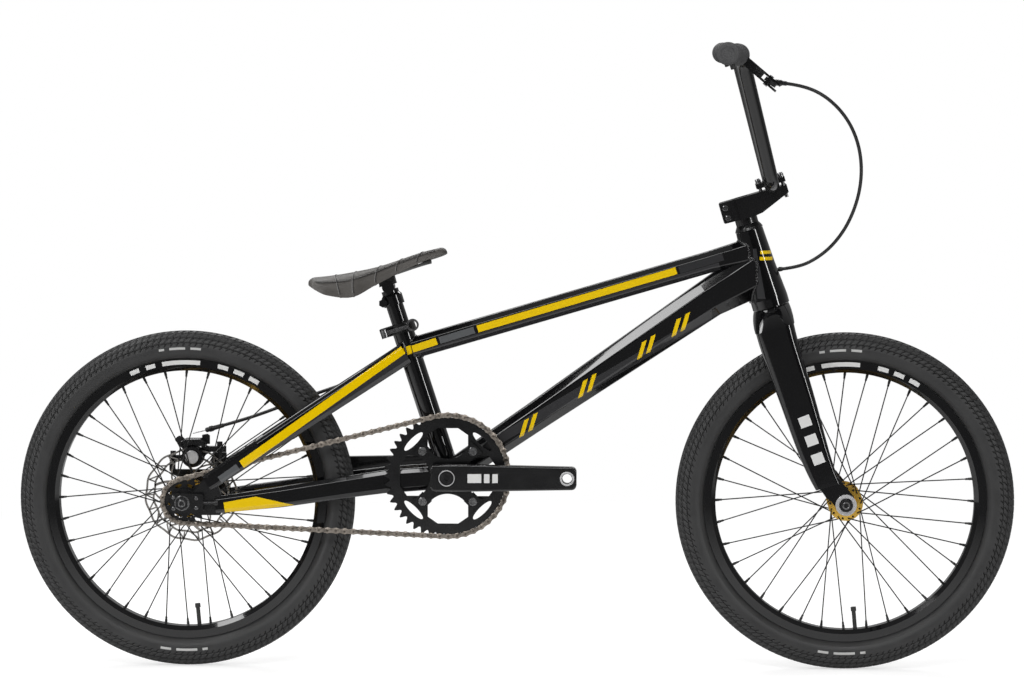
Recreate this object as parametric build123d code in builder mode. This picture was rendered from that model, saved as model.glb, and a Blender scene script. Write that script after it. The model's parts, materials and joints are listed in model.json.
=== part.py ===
"""A 20 inch racing BMX bicycle, built as its separate pieces.

Millimetres, +Z up.  +X points forward along the bicycle, -Y to the rider's right, which is the drive side.
The origin lies on the ground, midway between the two axles, in the bicycle's centre plane.
"""

import os
from math import asin, atan2, cos, degrees, pi, radians, sin, tan

from build123d import *

os.makedirs("parts", exist_ok=True)

# ---------------------------------------------------------------- driving dimensions
WHEELBASE = 966.0
TYRE_RADIUS = 247.5
TYRE_WIDTH = 45.0
HEAD_ANGLE = 73.7
SEAT_ANGLE = 72.0
HEAD_FOOT = (374.5, 0.0, 533.0)
HEAD_LENGTH = 116.0
BRACKET_X = -96.5
BRACKET_Z = 286.0
CRANK_LENGTH = 175.0
RING_TEETH = 44
COG_TEETH = 16
CHAIN_PITCH = 12.7
CHAIN_LINKS = 92
CHAINLINE = 41.0
FRONT_HUB_WIDTH = 100.0
REAR_HUB_WIDTH = 110.0
STEM_REACH = 49.4
BAR_RADIUS = 11.1
GRIP_END = (306.0, -365.0, 901.5)
GRIP_START = (320.6, -228.0, 900.0)
STEERER_RADIUS = 14.3
SEATPOST_RADIUS = 12.7
CABLE_RADIUS = 2.5
ROTOR_RADIUS = 70.0
SPOKES = 36
RUNNING_GAP = 0.05

# ---------------------------------------------------------------- derived places and directions
REAR_AXLE = Vector(-WHEELBASE / 2, 0, TYRE_RADIUS)
FRONT_AXLE = Vector(WHEELBASE / 2, 0, TYRE_RADIUS)
BRACKET = Vector(BRACKET_X, 0, BRACKET_Z)
RIGHT = Vector(0, -1, 0)
LEFT = Vector(0, 1, 0)
STEER_UP = Vector(-cos(radians(HEAD_ANGLE)), 0, sin(radians(HEAD_ANGLE)))
STEER_AHEAD = Vector(sin(radians(HEAD_ANGLE)), 0, cos(radians(HEAD_ANGLE)))
STEER_FOOT = Vector(*HEAD_FOOT)
STEER_PLANE = Plane(origin=STEER_FOOT, x_dir=STEER_AHEAD, z_dir=STEER_UP)
SEAT_UP = Vector(-cos(radians(SEAT_ANGLE)), 0, sin(radians(SEAT_ANGLE)))
SEAT_AHEAD = Vector(sin(radians(SEAT_ANGLE)), 0, cos(radians(SEAT_ANGLE)))
RING_PITCH_RADIUS = CHAIN_PITCH / (2 * sin(pi / RING_TEETH))
COG_PITCH_RADIUS = CHAIN_PITCH / (2 * sin(pi / COG_TEETH))


def write(piece, name):
    """Name one finished piece and write it as its own file."""
    piece.part.label = name
    export_step(piece.part, f"parts/{name}.step")


def turned(origin, along, outline):
    """A closed outline of (radius, height) points turned about the line through origin, along a direction."""
    along = Vector(along).normalized()
    out = Plane(origin=origin, z_dir=along).x_dir
    with BuildPart() as piece:
        with BuildSketch(Plane(origin=origin, x_dir=out, z_dir=out.cross(along))):
            with BuildLine():
                Polyline(*outline, close=True)
            make_face()
        revolve(axis=Axis(origin, along))
    return piece


def disc(origin, along, radius, start, end, bore=0.0):
    """A plain round disc, bush or rod between two heights along an axis."""
    return turned(origin, along, [(bore, start), (radius, start), (radius, end), (bore, end)])


def rod(start, end, radius):
    """A round bar from one point to another."""
    run = Vector(end) - Vector(start)
    return disc(start, run, radius, 0, run.length)


def together(*pieces):
    """Several solids that share one node, fused where they touch."""
    with BuildPart() as group:
        for piece in pieces:
            add(piece.part)
    return group


def apart(*pieces):
    """Several solids that share one node and stay separate."""
    with BuildPart() as group:
        for piece in pieces:
            add(piece.part, clean=False)
    return group


def without(piece, *cutters):
    """A piece with others cut out of it."""
    with BuildPart() as rest:
        add(piece.part)
        for cutter in cutters:
            add(cutter.part, mode=Mode.SUBTRACT)
    return rest


def other_side(piece):
    """The mirror image of a piece on the bicycle's other side."""
    with BuildPart() as twin:
        mirror(piece.part, about=Plane.XZ)
    return twin


def upright_plane(y):
    """A plane across the bicycle at one Y, drawn with X to the right and Z up."""
    return Plane(origin=(0, y, 0), x_dir=(1, 0, 0), z_dir=(0, -1, 0))


def plate(outline, y_inner, y_outer, corner=0.0):
    """A flat plate with an outline of (X, Z) points, between two distances to the rider's right."""
    with BuildPart() as piece:
        with BuildSketch(upright_plane(-y_inner)) as face:
            with BuildLine():
                Polyline(*outline, close=True)
            make_face()
            if corner:
                fillet(face.vertices(), corner)
        extrude(amount=y_outer - y_inner)
    return piece


def bevelled_tube(stations, bevel, corner):
    """A straight-sided tube through stations of (centre, direction, width, height)."""
    with BuildPart() as tube:
        for centre, along, width, height in stations:
            half, rise = width / 2, height / 2
            across, up = width * bevel, height * bevel
            outline = [
                (-half + across, rise), (half - across, rise), (half, rise - up), (half, -rise + up),
                (half - across, -rise), (-half + across, -rise), (-half, -rise + up), (-half, rise - up),
            ]
            with BuildSketch(Plane(origin=centre, x_dir=(0, 1, 0), z_dir=along)) as face:
                with BuildLine():
                    Polyline(*outline, close=True)
                make_face()
                fillet(face.vertices(), corner)
        loft(ruled=True)
    return tube


def cavity_of(stations, bevel, corner, wall, plugged=0):
    """The room inside a bevelled tube's wall; its last stations may stay solid, as a plugged end."""
    inner = [
        (centre, along, width - 2 * wall, height - 2 * wall)
        for centre, along, width, height in stations[:len(stations) - plugged]
    ]
    return bevelled_tube(inner, bevel, corner * 0.6)


def hollow_tube(stations, bevel, corner, wall, plugged=0):
    """A bevelled tube with a wall."""
    return without(bevelled_tube(stations, bevel, corner), cavity_of(stations, bevel, corner, wall, plugged))


def steer_point(ahead, up, y=0.0):
    """A point given by its distance ahead of the steering axis, its height along it, and Y."""
    return STEER_FOOT + STEER_AHEAD * ahead + STEER_UP * up + Vector(0, y, 0)


# ================================================================ frame tubes
SHELL_RADIUS = 20.9
SHELL_HALF = 36.5
SEAT_TUBE_RADIUS = 15.9
SEAT_TUBE_LENGTH = 231.0
HEAD_OUTLINE = [(27.5, 0), (27.5, 12), (23.0, 62), (20.0, HEAD_LENGTH)]
DROPOUT_INNER = REAR_HUB_WIDTH / 2
DROPOUT_OUTER = DROPOUT_INNER + 6

head_solid = turned(STEER_FOOT, STEER_UP, [(0, 0), *HEAD_OUTLINE, (0, HEAD_LENGTH)])
head_bore = turned(STEER_FOOT, STEER_UP, [
    (0, -1), (24, -1), (24, 9), (21, 9), (17.2, 40), (16.6, 107), (17.5, 107), (17.5, HEAD_LENGTH + 1),
    (0, HEAD_LENGTH + 1),
])
FRONT_PORT = steer_point(24.0, 48.0, 15.0)
PORT_DEPTH = 14.0
port_half = Vector(PORT_DEPTH, 0, 0)
front_port_hole = rod(FRONT_PORT - port_half, FRONT_PORT + port_half, CABLE_RADIUS + 0.3)
head_tube = without(head_solid, head_bore, front_port_hole)
write(head_tube, "head_tube")

seat_tube_solid = disc(BRACKET, SEAT_UP, SEAT_TUBE_RADIUS, 0, SEAT_TUBE_LENGTH)
shell_solid = disc(BRACKET, RIGHT, SHELL_RADIUS, -SHELL_HALF, SHELL_HALF)
bottom_bracket_shell = disc(BRACKET, RIGHT, SHELL_RADIUS, -SHELL_HALF, SHELL_HALF, bore=17.5)
write(bottom_bracket_shell, "bottom_bracket_shell")

POST_BORE = SEATPOST_RADIUS + RUNNING_GAP
seat_bore = disc(BRACKET, SEAT_UP, POST_BORE, 10, SEAT_TUBE_LENGTH + 1)
with BuildPart() as clamp_slot:
    with BuildSketch(Plane(origin=BRACKET + SEAT_UP * 212, x_dir=SEAT_AHEAD, z_dir=SEAT_UP)):
        with Locations((-SEAT_TUBE_RADIUS, 0)):
            Rectangle(10, 2)
    extrude(amount=20)
seat_tube = without(seat_tube_solid, shell_solid, seat_bore, clamp_slot)
write(seat_tube, "seat_tube")

TOP_TUBE_UP = Vector(0.9595, 0, 0.2816)
top_tube_stations = [
    ((-150, 0, 470.0), TOP_TUBE_UP, 34, 31),
    ((285, 0, 597.7), TOP_TUBE_UP, 38, 31),
    ((352, 0, 615.0), TOP_TUBE_UP, 40, 40),
]
top_tube = without(hollow_tube(top_tube_stations, 0.22, 3.0, 2.0), head_solid, seat_tube_solid)

DOWN_TUBE_UP = Vector(0.8241, 0, 0.5664)
down_tube_stations = [
    ((-96.5, 0, 283.5), DOWN_TUBE_UP, 46, 38),
    ((30, 0, 370.0), DOWN_TUBE_UP, 50, 42),
    ((285, 0, 544.5), DOWN_TUBE_UP, 48, 56),
    ((362, 0, 589.0), DOWN_TUBE_UP, 44, 74),
]
top_tube_solid = bevelled_tube(top_tube_stations, 0.22, 3.0)
down_tube = without(
    hollow_tube(down_tube_stations, 0.26, 4.0, 2.0), head_solid, shell_solid, seat_tube_solid, top_tube_solid
)
write(down_tube, "down_tube")
write(top_tube, "top_tube")


def ahead_between(start, end):
    """The direction from one station to the next, always pointing forward."""
    run = (Vector(start) - Vector(end)).normalized()
    return run


chain_stay_places = [
    ((-108, -24, 282), 18, 34), ((-190, -27.5, 276), 16, 34), ((-245, -38, 269), 16, 32),
    ((-339, -48, 255), 18, 30), ((-424, -56.5, 245), 14, 25), ((-436, -57.5, 243.5), 14, 24),
]
seat_stay_places = [
    ((-160, -14, 463), 16, 31), ((-232, -24, 416), 16, 30), ((-300, -38, 372), 16, 29),
    ((-370, -55, 326.5), 14, 27), ((-438, -58.5, 282), 13, 25), ((-448, -59, 275.5), 13, 24),
]


def stay_stations(places):
    """Stations with directions averaged from the runs on both sides."""
    stations = []
    for index, (centre, width, height) in enumerate(places):
        before = places[max(index - 1, 0)][0]
        after = places[min(index + 1, len(places) - 1)][0]
        stations.append((centre, ahead_between(before, after), width, height))
    return stations


chain_stay_solid = bevelled_tube(stay_stations(chain_stay_places), 0.2, 2.5)
chain_bridge_half = rod((-186, 0, 268), (-186, -27, 268), 7)
STAY_WALL = 1.8
TYRE_ROOM = 258.0
tyre_room = disc(REAR_AXLE, RIGHT, TYRE_ROOM, -60, 22)
walled_tyre_room = disc(REAR_AXLE, RIGHT, TYRE_ROOM + STAY_WALL, -60, 22 + STAY_WALL)
chain_stay_cavity = without(
    cavity_of(stay_stations(chain_stay_places), 0.2, 2.5, STAY_WALL, plugged=1), walled_tyre_room
)
chain_stay_right = without(
    together(chain_stay_solid, chain_bridge_half), shell_solid, seat_tube_solid, down_tube, tyre_room,
    chain_stay_cavity,
)
seat_stay_solid = bevelled_tube(stay_stations(seat_stay_places), 0.2, 2.5)
seat_bridge_half = rod((-226, 0, 420), (-226, -24, 420), 7)
centre_cut = plate([(-300, 380), (-100, 380), (-100, 520), (-300, 520)], -30, 0)
seat_stay_right = without(
    together(hollow_tube(stay_stations(seat_stay_places), 0.2, 2.5, STAY_WALL, plugged=1), seat_bridge_half),
    seat_tube_solid, top_tube_solid, centre_cut,
)
for side, stay in (("right", chain_stay_right), ("left", other_side(chain_stay_right))):
    write(stay, f"chain_stay_{side}")

REAR_PORT = Vector(-262, 37, 411)
rear_port_hole = rod(REAR_PORT + Vector(-16, 3, 9), REAR_PORT + Vector(8, -1, -4), CABLE_RADIUS + 0.3)
seat_stay_left = without(other_side(seat_stay_right), rear_port_hole)
write(seat_stay_right, "seat_stay_right")
write(seat_stay_left, "seat_stay_left")

# ---------------------------------------------------------------- dropouts and axle hardware
AXLE_RADIUS = 5.0
dropout_outline = [
    (-508, 258), (-508, 236), (-460, 229), (-428, 229), (-422, 247), (-430, 268), (-436, 286), (-452, 282),
    (-468, 262),
]
axle_slot = plate([(-520, 242.5), (-483, 242.5), (-478, 247.5), (-483, 252.5), (-520, 252.5)], 50, 70)
axle_end = disc(REAR_AXLE, RIGHT, AXLE_RADIUS + RUNNING_GAP, 50, 70)
dropout_right = without(
    plate(dropout_outline, DROPOUT_INNER, DROPOUT_OUTER, corner=4), axle_slot, axle_end, chain_stay_solid,
    seat_stay_solid,
)
write(dropout_right, "dropout_right")
write(other_side(dropout_right), "dropout_left")

TENSIONER_OUTER = DROPOUT_OUTER + 10
tensioner_block = without(
    plate([(-500, 234), (-452, 234), (-452, 261), (-500, 261)], DROPOUT_OUTER, TENSIONER_OUTER, corner=4),
    disc(REAR_AXLE, RIGHT, AXLE_RADIUS + RUNNING_GAP, 50, 80),
)
tensioner_screw = rod((-452, -66, 247.5), (-436, -66, 247.5), 2.5)
screw_head = rod((-436, -66, 247.5), (-431, -66, 247.5), 4.2)
tensioner_right = without(together(tensioner_block, tensioner_screw, screw_head), chain_stay_solid)
chain_tensioners = apart(tensioner_right, other_side(tensioner_right))
write(chain_tensioners, "chain_tensioners")


def hexagon_bolt(origin, along, radius, head_radius, start, end, head):
    """A rod with a six-sided head at its far end."""
    along = Vector(along).normalized()
    shaft = disc(origin, along, radius, start, end)
    with BuildPart() as bolt:
        add(shaft.part)
        with BuildSketch(Plane(origin=Vector(origin) + along * end, z_dir=along)):
            RegularPolygon(head_radius, 6)
        extrude(amount=head)
    return bolt


rear_axle = together(
    hexagon_bolt(REAR_AXLE, RIGHT, AXLE_RADIUS, 9.5, -TENSIONER_OUTER, TENSIONER_OUTER, 7),
    hexagon_bolt(REAR_AXLE, LEFT, AXLE_RADIUS, 9.5, 0, TENSIONER_OUTER, 7),
)
write(rear_axle, "rear_axle")

# ---------------------------------------------------------------- bearings
upper_bearing = disc(STEER_FOOT, STEER_UP, 17.45, 107.3, 114.5, bore=STEERER_RADIUS + RUNNING_GAP)
lower_bearing = disc(STEER_FOOT, STEER_UP, 23.95, 1.5, 8.8, bore=19.4 + RUNNING_GAP)
headset_bearings = apart(upper_bearing, lower_bearing)
write(headset_bearings, "headset_bearings")

SPINDLE_RADIUS = 12.0
cup_right = turned(BRACKET, RIGHT, [
    (SPINDLE_RADIUS + RUNNING_GAP, 22), (17.4, 22), (17.4, SHELL_HALF), (22, SHELL_HALF), (22, 45),
    (SPINDLE_RADIUS + RUNNING_GAP, 45),
])
bottom_bracket_cups = apart(cup_right, other_side(cup_right))
write(bottom_bracket_cups, "bottom_bracket_cups")

# ---------------------------------------------------------------- seat clamp and its lever
COLLAR_BASE = BRACKET + SEAT_UP * 218
COLLAR_HEIGHT = 14.0
SKEWER_BACK = 25.0
SKEWER = COLLAR_BASE + SEAT_UP * (COLLAR_HEIGHT / 2) - SEAT_AHEAD * SKEWER_BACK
collar_plane = Plane(origin=COLLAR_BASE, x_dir=SEAT_AHEAD, z_dir=SEAT_UP)
with BuildPart() as collar:
    with BuildSketch(collar_plane):
        Circle(20.2)
        with Locations((-SKEWER_BACK, 0)):
            Rectangle(14, 22)
        Circle(SEAT_TUBE_RADIUS, mode=Mode.SUBTRACT)
        with Locations((-SKEWER_BACK, 0)):
            Rectangle(26, 2.4, mode=Mode.SUBTRACT)
    extrude(amount=COLLAR_HEIGHT)
skewer_hole = disc(SKEWER, RIGHT, 2.6, -30, 30)
skewer_pin = disc(SKEWER, RIGHT, 2.5, -17, 16)
skewer_nut = disc(SKEWER, LEFT, 6.5, 11.2, 18)
cam_block = disc(SKEWER, RIGHT, 5.0, 11.2, 18.6)
seat_clamp = apart(without(collar, skewer_hole), together(skewer_pin, skewer_nut, cam_block))
write(seat_clamp, "seat_clamp")

CAM_PIVOT = SKEWER + RIGHT * 23.5
CAM_RADIUS = 4.5
LEVER_LENGTH = 43.0
lever_plane = Plane(origin=CAM_PIVOT, x_dir=SEAT_AHEAD, z_dir=RIGHT)
with BuildPart() as lever_bar:
    with BuildSketch(lever_plane.offset(-2.5)):
        with Locations((LEVER_LENGTH / 2 - 3, 0)):
            Rectangle(LEVER_LENGTH - 6, 6)
        with Locations((LEVER_LENGTH, 0)):
            Circle(9.0)
            Circle(6.2, mode=Mode.SUBTRACT)
    extrude(amount=5)
lever_cam = disc(CAM_PIVOT, SEAT_UP, CAM_RADIUS, -6, 6)
qr_lever = together(lever_bar, lever_cam)
write(qr_lever, "qr_lever")

# ================================================================ seatpost and saddle
POST_HEAD = 288.0
POST_INSERTED = 145.0
TILT_PIVOT = BRACKET + SEAT_UP * POST_HEAD
HEAD_BARREL = 9.0
SADDLE_TILT = 13.7
post_tube = disc(BRACKET, SEAT_UP, SEATPOST_RADIUS, POST_INSERTED, POST_HEAD - 5, bore=10.4)
post_sleeve = turned(BRACKET, SEAT_UP, [
    (SEATPOST_RADIUS - 0.5, POST_HEAD - 28), (15.5, POST_HEAD - 28), (15.5, POST_HEAD - 14),
    (SEATPOST_RADIUS - 0.5, POST_HEAD - 10),
])
post_barrel = disc(TILT_PIVOT, RIGHT, HEAD_BARREL, -14, 14)
post_bolt = hexagon_bolt(TILT_PIVOT - SEAT_UP * 20 - SEAT_AHEAD * 14, RIGHT, 4.0, 6.5, -12, 12, 5)
seatpost = together(post_tube, post_sleeve, post_barrel, post_bolt)
write(seatpost, "seatpost")

SADDLE_NOSE = Vector(-97, 0, 617)
SADDLE_AHEAD = Vector(cos(radians(SADDLE_TILT)), 0, sin(radians(SADDLE_TILT)))
SADDLE_UP = Vector(-sin(radians(SADDLE_TILT)), 0, cos(radians(SADDLE_TILT)))


def saddle_loft(sections):
    """Crescent sections lofted together: distance behind the nose, half width, droop, rise, thickness."""
    with BuildPart() as skin:
        for behind, half, droop, rise, thick in sections:
            centre = SADDLE_NOSE - SADDLE_AHEAD * behind + SADDLE_UP * rise
            with BuildSketch(Plane(origin=centre, x_dir=(0, 1, 0), z_dir=SADDLE_AHEAD)):
                with BuildLine():
                    ThreePointArc((-half, -droop), (0, 0), (half, -droop))
                    ThreePointArc((-half, -droop), (0, -thick), (half, -droop))
                make_face()
        loft()
    return skin


pad_sections = [
    (4, 12, 8, 4, 13), (30, 17, 12, 4, 15), (75, 23, 17, 1, 15), (115, 42, 25, -1, 15), (150, 60, 34, 0, 14),
    (185, 58, 26, 3, 13), (212, 36, 10, 7, 11),
]
BASE_SHARE = 0.88
BASE_SINK = 0.8
BASE_THICKNESS = 4.5
base_sections = [
    (behind, half * BASE_SHARE, BASE_SHARE ** 2 * (droop - thick), rise - thick - BASE_SINK, BASE_THICKNESS)
    for behind, half, droop, rise, thick in pad_sections[1:-1]
]
saddle_pad = saddle_loft(pad_sections)
base_shell = saddle_loft(base_sections)
saddle_cheek = disc(TILT_PIVOT, RIGHT, 13, -13.5, 13.5)
with BuildPart() as cheek_block:
    with BuildSketch(Plane(origin=TILT_PIVOT, x_dir=(0, 1, 0), z_dir=SADDLE_UP)):
        Rectangle(27, 24)
    extrude(amount=16)
tilt_bore = disc(TILT_PIVOT, RIGHT, HEAD_BARREL + RUNNING_GAP, -20, 20)
below_pivot = disc(TILT_PIVOT, -SADDLE_UP, 60, -3, 60)
saddle_bracket = without(together(saddle_cheek, cheek_block), tilt_bore, below_pivot, saddle_pad)
saddle_base = without(together(base_shell, saddle_bracket), saddle_pad)
write(saddle_pad, "saddle_pad")
write(saddle_base, "saddle_base")

# ================================================================ fork
FORK_TOP = -1.2
CROWN_BASE = -30.0
AXLE_AHEAD = 24.0
AXLE_UP = -304.6
FORK_INNER = FRONT_HUB_WIDTH / 2
crown_sections = [(FORK_TOP, -0.5, 53, 53, 26), (-13, -2, 58, 84, 24), (CROWN_BASE, -4, 59, 112, 12)]
with BuildPart() as crown_body:
    for up, ahead, depth, width, corner in crown_sections:
        with BuildSketch(STEER_PLANE.offset(up)):
            with Locations((ahead, 0)):
                RectangleRounded(depth, width, corner)
    loft()
steerer = turned(STEER_FOOT, STEER_UP, [
    (12.0, -20), (19.4, -20), (19.4, 9.0), (STEERER_RADIUS, 24), (STEERER_RADIUS, 163), (12.0, 163),
])
steerer_bore = disc(STEER_FOOT, STEER_UP, 12.0, -60, 170)
fork_crown = without(together(crown_body, steerer), steerer_bore)
write(fork_crown, "fork_crown")

leg_sections = [
    (CROWN_BASE, -4, -42.5, 57, 26), (-70, -4.2, -44, 55, 24), (-120, -2.2, -46, 52, 21),
    (-185, -0.5, -49.5, 47, 17), (-240, 2.0, -52.5, 41, 13), (-272, 6.5, -53.8, 37, 10),
]
with BuildPart() as leg_blade:
    for up, ahead, y, depth, thick in leg_sections:
        with BuildSketch(STEER_PLANE.offset(up)):
            with Locations((ahead, y)):
                RectangleRounded(depth, thick, thick / 2 - 0.4)
    loft()
tip_plane = Plane(origin=STEER_FOOT + RIGHT * FORK_INNER, x_dir=STEER_AHEAD, z_dir=RIGHT)
with BuildPart() as fork_tip:
    with BuildSketch(tip_plane) as tip_face:
        with BuildLine():
            Polyline((-11, -262), (24, -262), (39, -298), (33, -314), (14, -314), close=True)
        make_face()
        fillet(tip_face.vertices(), 5)
        with Locations((AXLE_AHEAD, AXLE_UP)):
            Circle(15.5)
    extrude(amount=7)
fork_slot_plane = Plane(origin=FRONT_AXLE + RIGHT * 40, x_dir=STEER_AHEAD, z_dir=RIGHT)
with BuildPart() as fork_slot:
    with BuildSketch(fork_slot_plane):
        Circle(AXLE_RADIUS + RUNNING_GAP)
        with Locations((0, -15)):
            Rectangle(2 * AXLE_RADIUS + 0.1, 30)
    extrude(amount=30)
fork_leg_right = without(together(leg_blade, fork_tip), fork_slot)
write(fork_leg_right, "fork_leg_right")
write(other_side(fork_leg_right), "fork_leg_left")

WASHER_OUTER = FORK_INNER + 9.5
washer_right = disc(FRONT_AXLE, RIGHT, 15.5, FORK_INNER + 7, WASHER_OUTER, bore=AXLE_RADIUS)
front_axle = together(
    hexagon_bolt(FRONT_AXLE, RIGHT, AXLE_RADIUS, 9.5, -WASHER_OUTER, WASHER_OUTER, 8),
    hexagon_bolt(FRONT_AXLE, LEFT, AXLE_RADIUS, 9.5, 0, WASHER_OUTER, 8),
    washer_right, other_side(washer_right),
)
write(front_axle, "front_axle")

# ================================================================ headset cover, stem and handlebar
STEM_BASE = 134.0
STEM_TOP = 165.6
BAR_HEIGHT = 170.6
STEM_HALF = 26.0
cover = turned(STEER_FOOT, STEER_UP, [
    (STEERER_RADIUS + 0.02, 116.7), (21.0, 116.7), (19.5, 120), (16.5, 125.0), (STEERER_RADIUS + 0.02, 125.0),
])
spacer = disc(STEER_FOOT, STEER_UP, 16.5, 125.2, STEM_BASE - 0.2, bore=STEERER_RADIUS + 0.02)
headset_spacers = apart(cover, spacer)
write(headset_spacers, "headset_spacers")

stem_side = Plane(origin=STEER_FOOT + RIGHT * STEM_HALF, x_dir=STEER_AHEAD, z_dir=RIGHT)
with BuildPart() as stem_block:
    with BuildSketch(stem_side.offset(-2 * STEM_HALF)) as stem_face:
        with BuildLine():
            Polyline(
                (-32.5, STEM_TOP), (-32.5, STEM_BASE + 1), (12, STEM_BASE), (26, STEM_BASE + 2), (70.3, 154),
                (70.3, STEM_TOP), close=True,
            )
        make_face()
        fillet(stem_face.vertices().sort_by(Axis.X)[:2], 3)
    extrude(amount=2 * STEM_HALF)
BAR_CENTRE = steer_point(STEM_REACH, BAR_HEIGHT)
bar_channel = disc(BAR_CENTRE, RIGHT, BAR_RADIUS + 0.02, -40, 40)
steer_hole = disc(STEER_FOOT, STEER_UP, STEERER_RADIUS + 0.02, 100, 200)
with BuildPart() as stem_waist:
    with BuildSketch(STEER_PLANE.offset(STEM_BASE - 5)):
        with Locations((-24, 31), (-24, -31)):
            Rectangle(34, 18)
    extrude(amount=50)
with BuildPart() as pinch_slot:
    with BuildSketch(STEER_PLANE.offset(STEM_BASE - 5)):
        with Locations((-26, 0)):
            Rectangle(30, 2.5)
    extrude(amount=50)
pinch_holes = together(*[
    disc(steer_point(-24.5, up), RIGHT, 2.6, -40, 40) for up in (142, 157)
])
CLAMP_BOLT_AHEAD = (STEM_REACH - 17.5, STEM_REACH + 16.5)
CLAMP_BOLT_Y = (-18, 18)
clamp_bolt_holes = together(*[
    disc(steer_point(ahead, 150, y), STEER_UP, 3.05, -12, 30)
    for ahead in CLAMP_BOLT_AHEAD for y in CLAMP_BOLT_Y
])
stem_body = without(
    stem_block, bar_channel, steer_hole, stem_waist, pinch_slot, pinch_holes, clamp_bolt_holes
)
write(stem_body, "stem_body")

CAP_BASE = 170.5
CAP_LUG = 7.0
with BuildPart() as cap_block:
    with BuildSketch(stem_side.offset(-2 * STEM_HALF)):
        with Locations((STEM_REACH, BAR_HEIGHT)):
            Circle(14.2)
        with Locations((STEM_REACH - 0.75, CAP_BASE + CAP_LUG / 2)):
            Rectangle(43.5, CAP_LUG)
        with Locations((STEM_REACH, CAP_BASE - 30)):
            Rectangle(60, 60, mode=Mode.SUBTRACT)
    extrude(amount=2 * STEM_HALF)
stem_cap = without(cap_block, bar_channel, clamp_bolt_holes)
write(stem_cap, "stem_cap")

clamp_bolts = [
    together(
        disc(steer_point(ahead, 0, y), STEER_UP, 3.0, 142, CAP_BASE + CAP_LUG),
        disc(steer_point(ahead, 0, y), STEER_UP, 4.0, CAP_BASE + CAP_LUG, CAP_BASE + CAP_LUG + 6),
    )
    for ahead in CLAMP_BOLT_AHEAD for y in CLAMP_BOLT_Y
]
pinch_bolts = [
    together(
        disc(steer_point(-24.5, up), RIGHT, 2.5, -20, 22), disc(steer_point(-24.5, up), RIGHT, 4.2, 22, 27),
    )
    for up in (142, 157)
]
stem_bolts = apart(*clamp_bolts, *pinch_bolts)
write(stem_bolts, "stem_bolts")

BAR_WALL = 1.6
BAR_FOOT_Y = -50.0
GRIP_START_POINT = Vector(*GRIP_START)
GRIP_END_POINT = Vector(*GRIP_END)
GRIP_OUT = (GRIP_END_POINT - GRIP_START_POINT).normalized()
TOP_BEND_Y = -172.0
top_bend = GRIP_START_POINT + GRIP_OUT * ((TOP_BEND_Y - GRIP_START_POINT.Y) / GRIP_OUT.Y)
bar_foot = Vector(BAR_CENTRE.X, BAR_FOOT_Y, BAR_CENTRE.Z)


def mirrored_point(point):
    """The matching point on the bicycle's left."""
    return Vector(point.X, -point.Y, point.Z)


bar_route = [GRIP_END_POINT, top_bend, bar_foot]
bar_route += [mirrored_point(point) for point in reversed(bar_route)]
BAR_BEND = 42.0


def swept_tube(route, bends, radius):
    """A round tube along straight runs joined by tangent arcs."""
    with BuildPart() as tube:
        with BuildLine() as path:
            FilletPolyline(*route, radius=bends)
        with BuildSketch(Plane(origin=path.line @ 0, z_dir=path.line % 0)):
            Circle(radius)
        sweep(path=path.line)
    return tube


crossbar_share = 0.52
crossbar_end = bar_foot + (top_bend - bar_foot) * crossbar_share
bar_outside = swept_tube(bar_route, BAR_BEND, BAR_RADIUS)
bar_inside = swept_tube(bar_route, BAR_BEND, BAR_RADIUS - BAR_WALL)
crossbar = rod(crossbar_end, mirrored_point(crossbar_end), 8.0)
crossbar_inside = rod(crossbar_end, mirrored_point(crossbar_end), 6.6)
handlebar = without(together(bar_outside, crossbar), bar_inside, crossbar_inside)
write(handlebar, "handlebar")

GRIP_LENGTH = (GRIP_END_POINT - GRIP_START_POINT).length
grip_bore = BAR_RADIUS + 0.02
grip_core = turned(GRIP_START_POINT, GRIP_OUT, [
    (grip_bore, 0), (16.0, 0), (16.0, 4), (14.6, 6), (14.4, GRIP_LENGTH - 9), (15.2, GRIP_LENGTH - 8),
    (16.0, GRIP_LENGTH - 6), (16.0, GRIP_LENGTH + 1.5), (14.0, GRIP_LENGTH + 3.5), (0, GRIP_LENGTH + 3.5),
    (0, GRIP_LENGTH + 0.2), (grip_bore, GRIP_LENGTH + 0.2),
])
boss_down = Vector(0, 0, -1)
lock_boss = disc(GRIP_END_POINT - GRIP_OUT * 3, boss_down, 3.6, 13.5, 22.5)
grip_right = together(grip_core, without(lock_boss, bar_outside))
write(grip_right, "grip_right")
write(other_side(grip_right), "grip_left")

# ================================================================ wheels
RIM_INNER = 189.0
RIM_OUTER = 206.0
VALVE_ANGLE = -85.0
SPOKE_RADIUS = 1.0
NIPPLE_RADIUS = 2.0
SPOKE_HOLE_CIRCLE = 22.0
CROSS_ANGLE = 60.0
FLANGE_OFFSETS = {"front": (33.5, 33.5), "rear": (28.0, 21.4)}
OUTER_LEAN = 5.6
INNER_LEAN = -2.9


def wheel_plane(axle):
    """A wheel's own plane: its normal points to the rider's right and X stays forward."""
    return Plane(origin=axle, x_dir=(1, 0, 0), z_dir=(0, -1, 0))


def wheel_point(radius, angle, offset=0.0):
    """A point of a wheel in its own plane's coordinates."""
    return Vector(radius * cos(radians(angle)), radius * sin(radians(angle)), offset)


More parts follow.
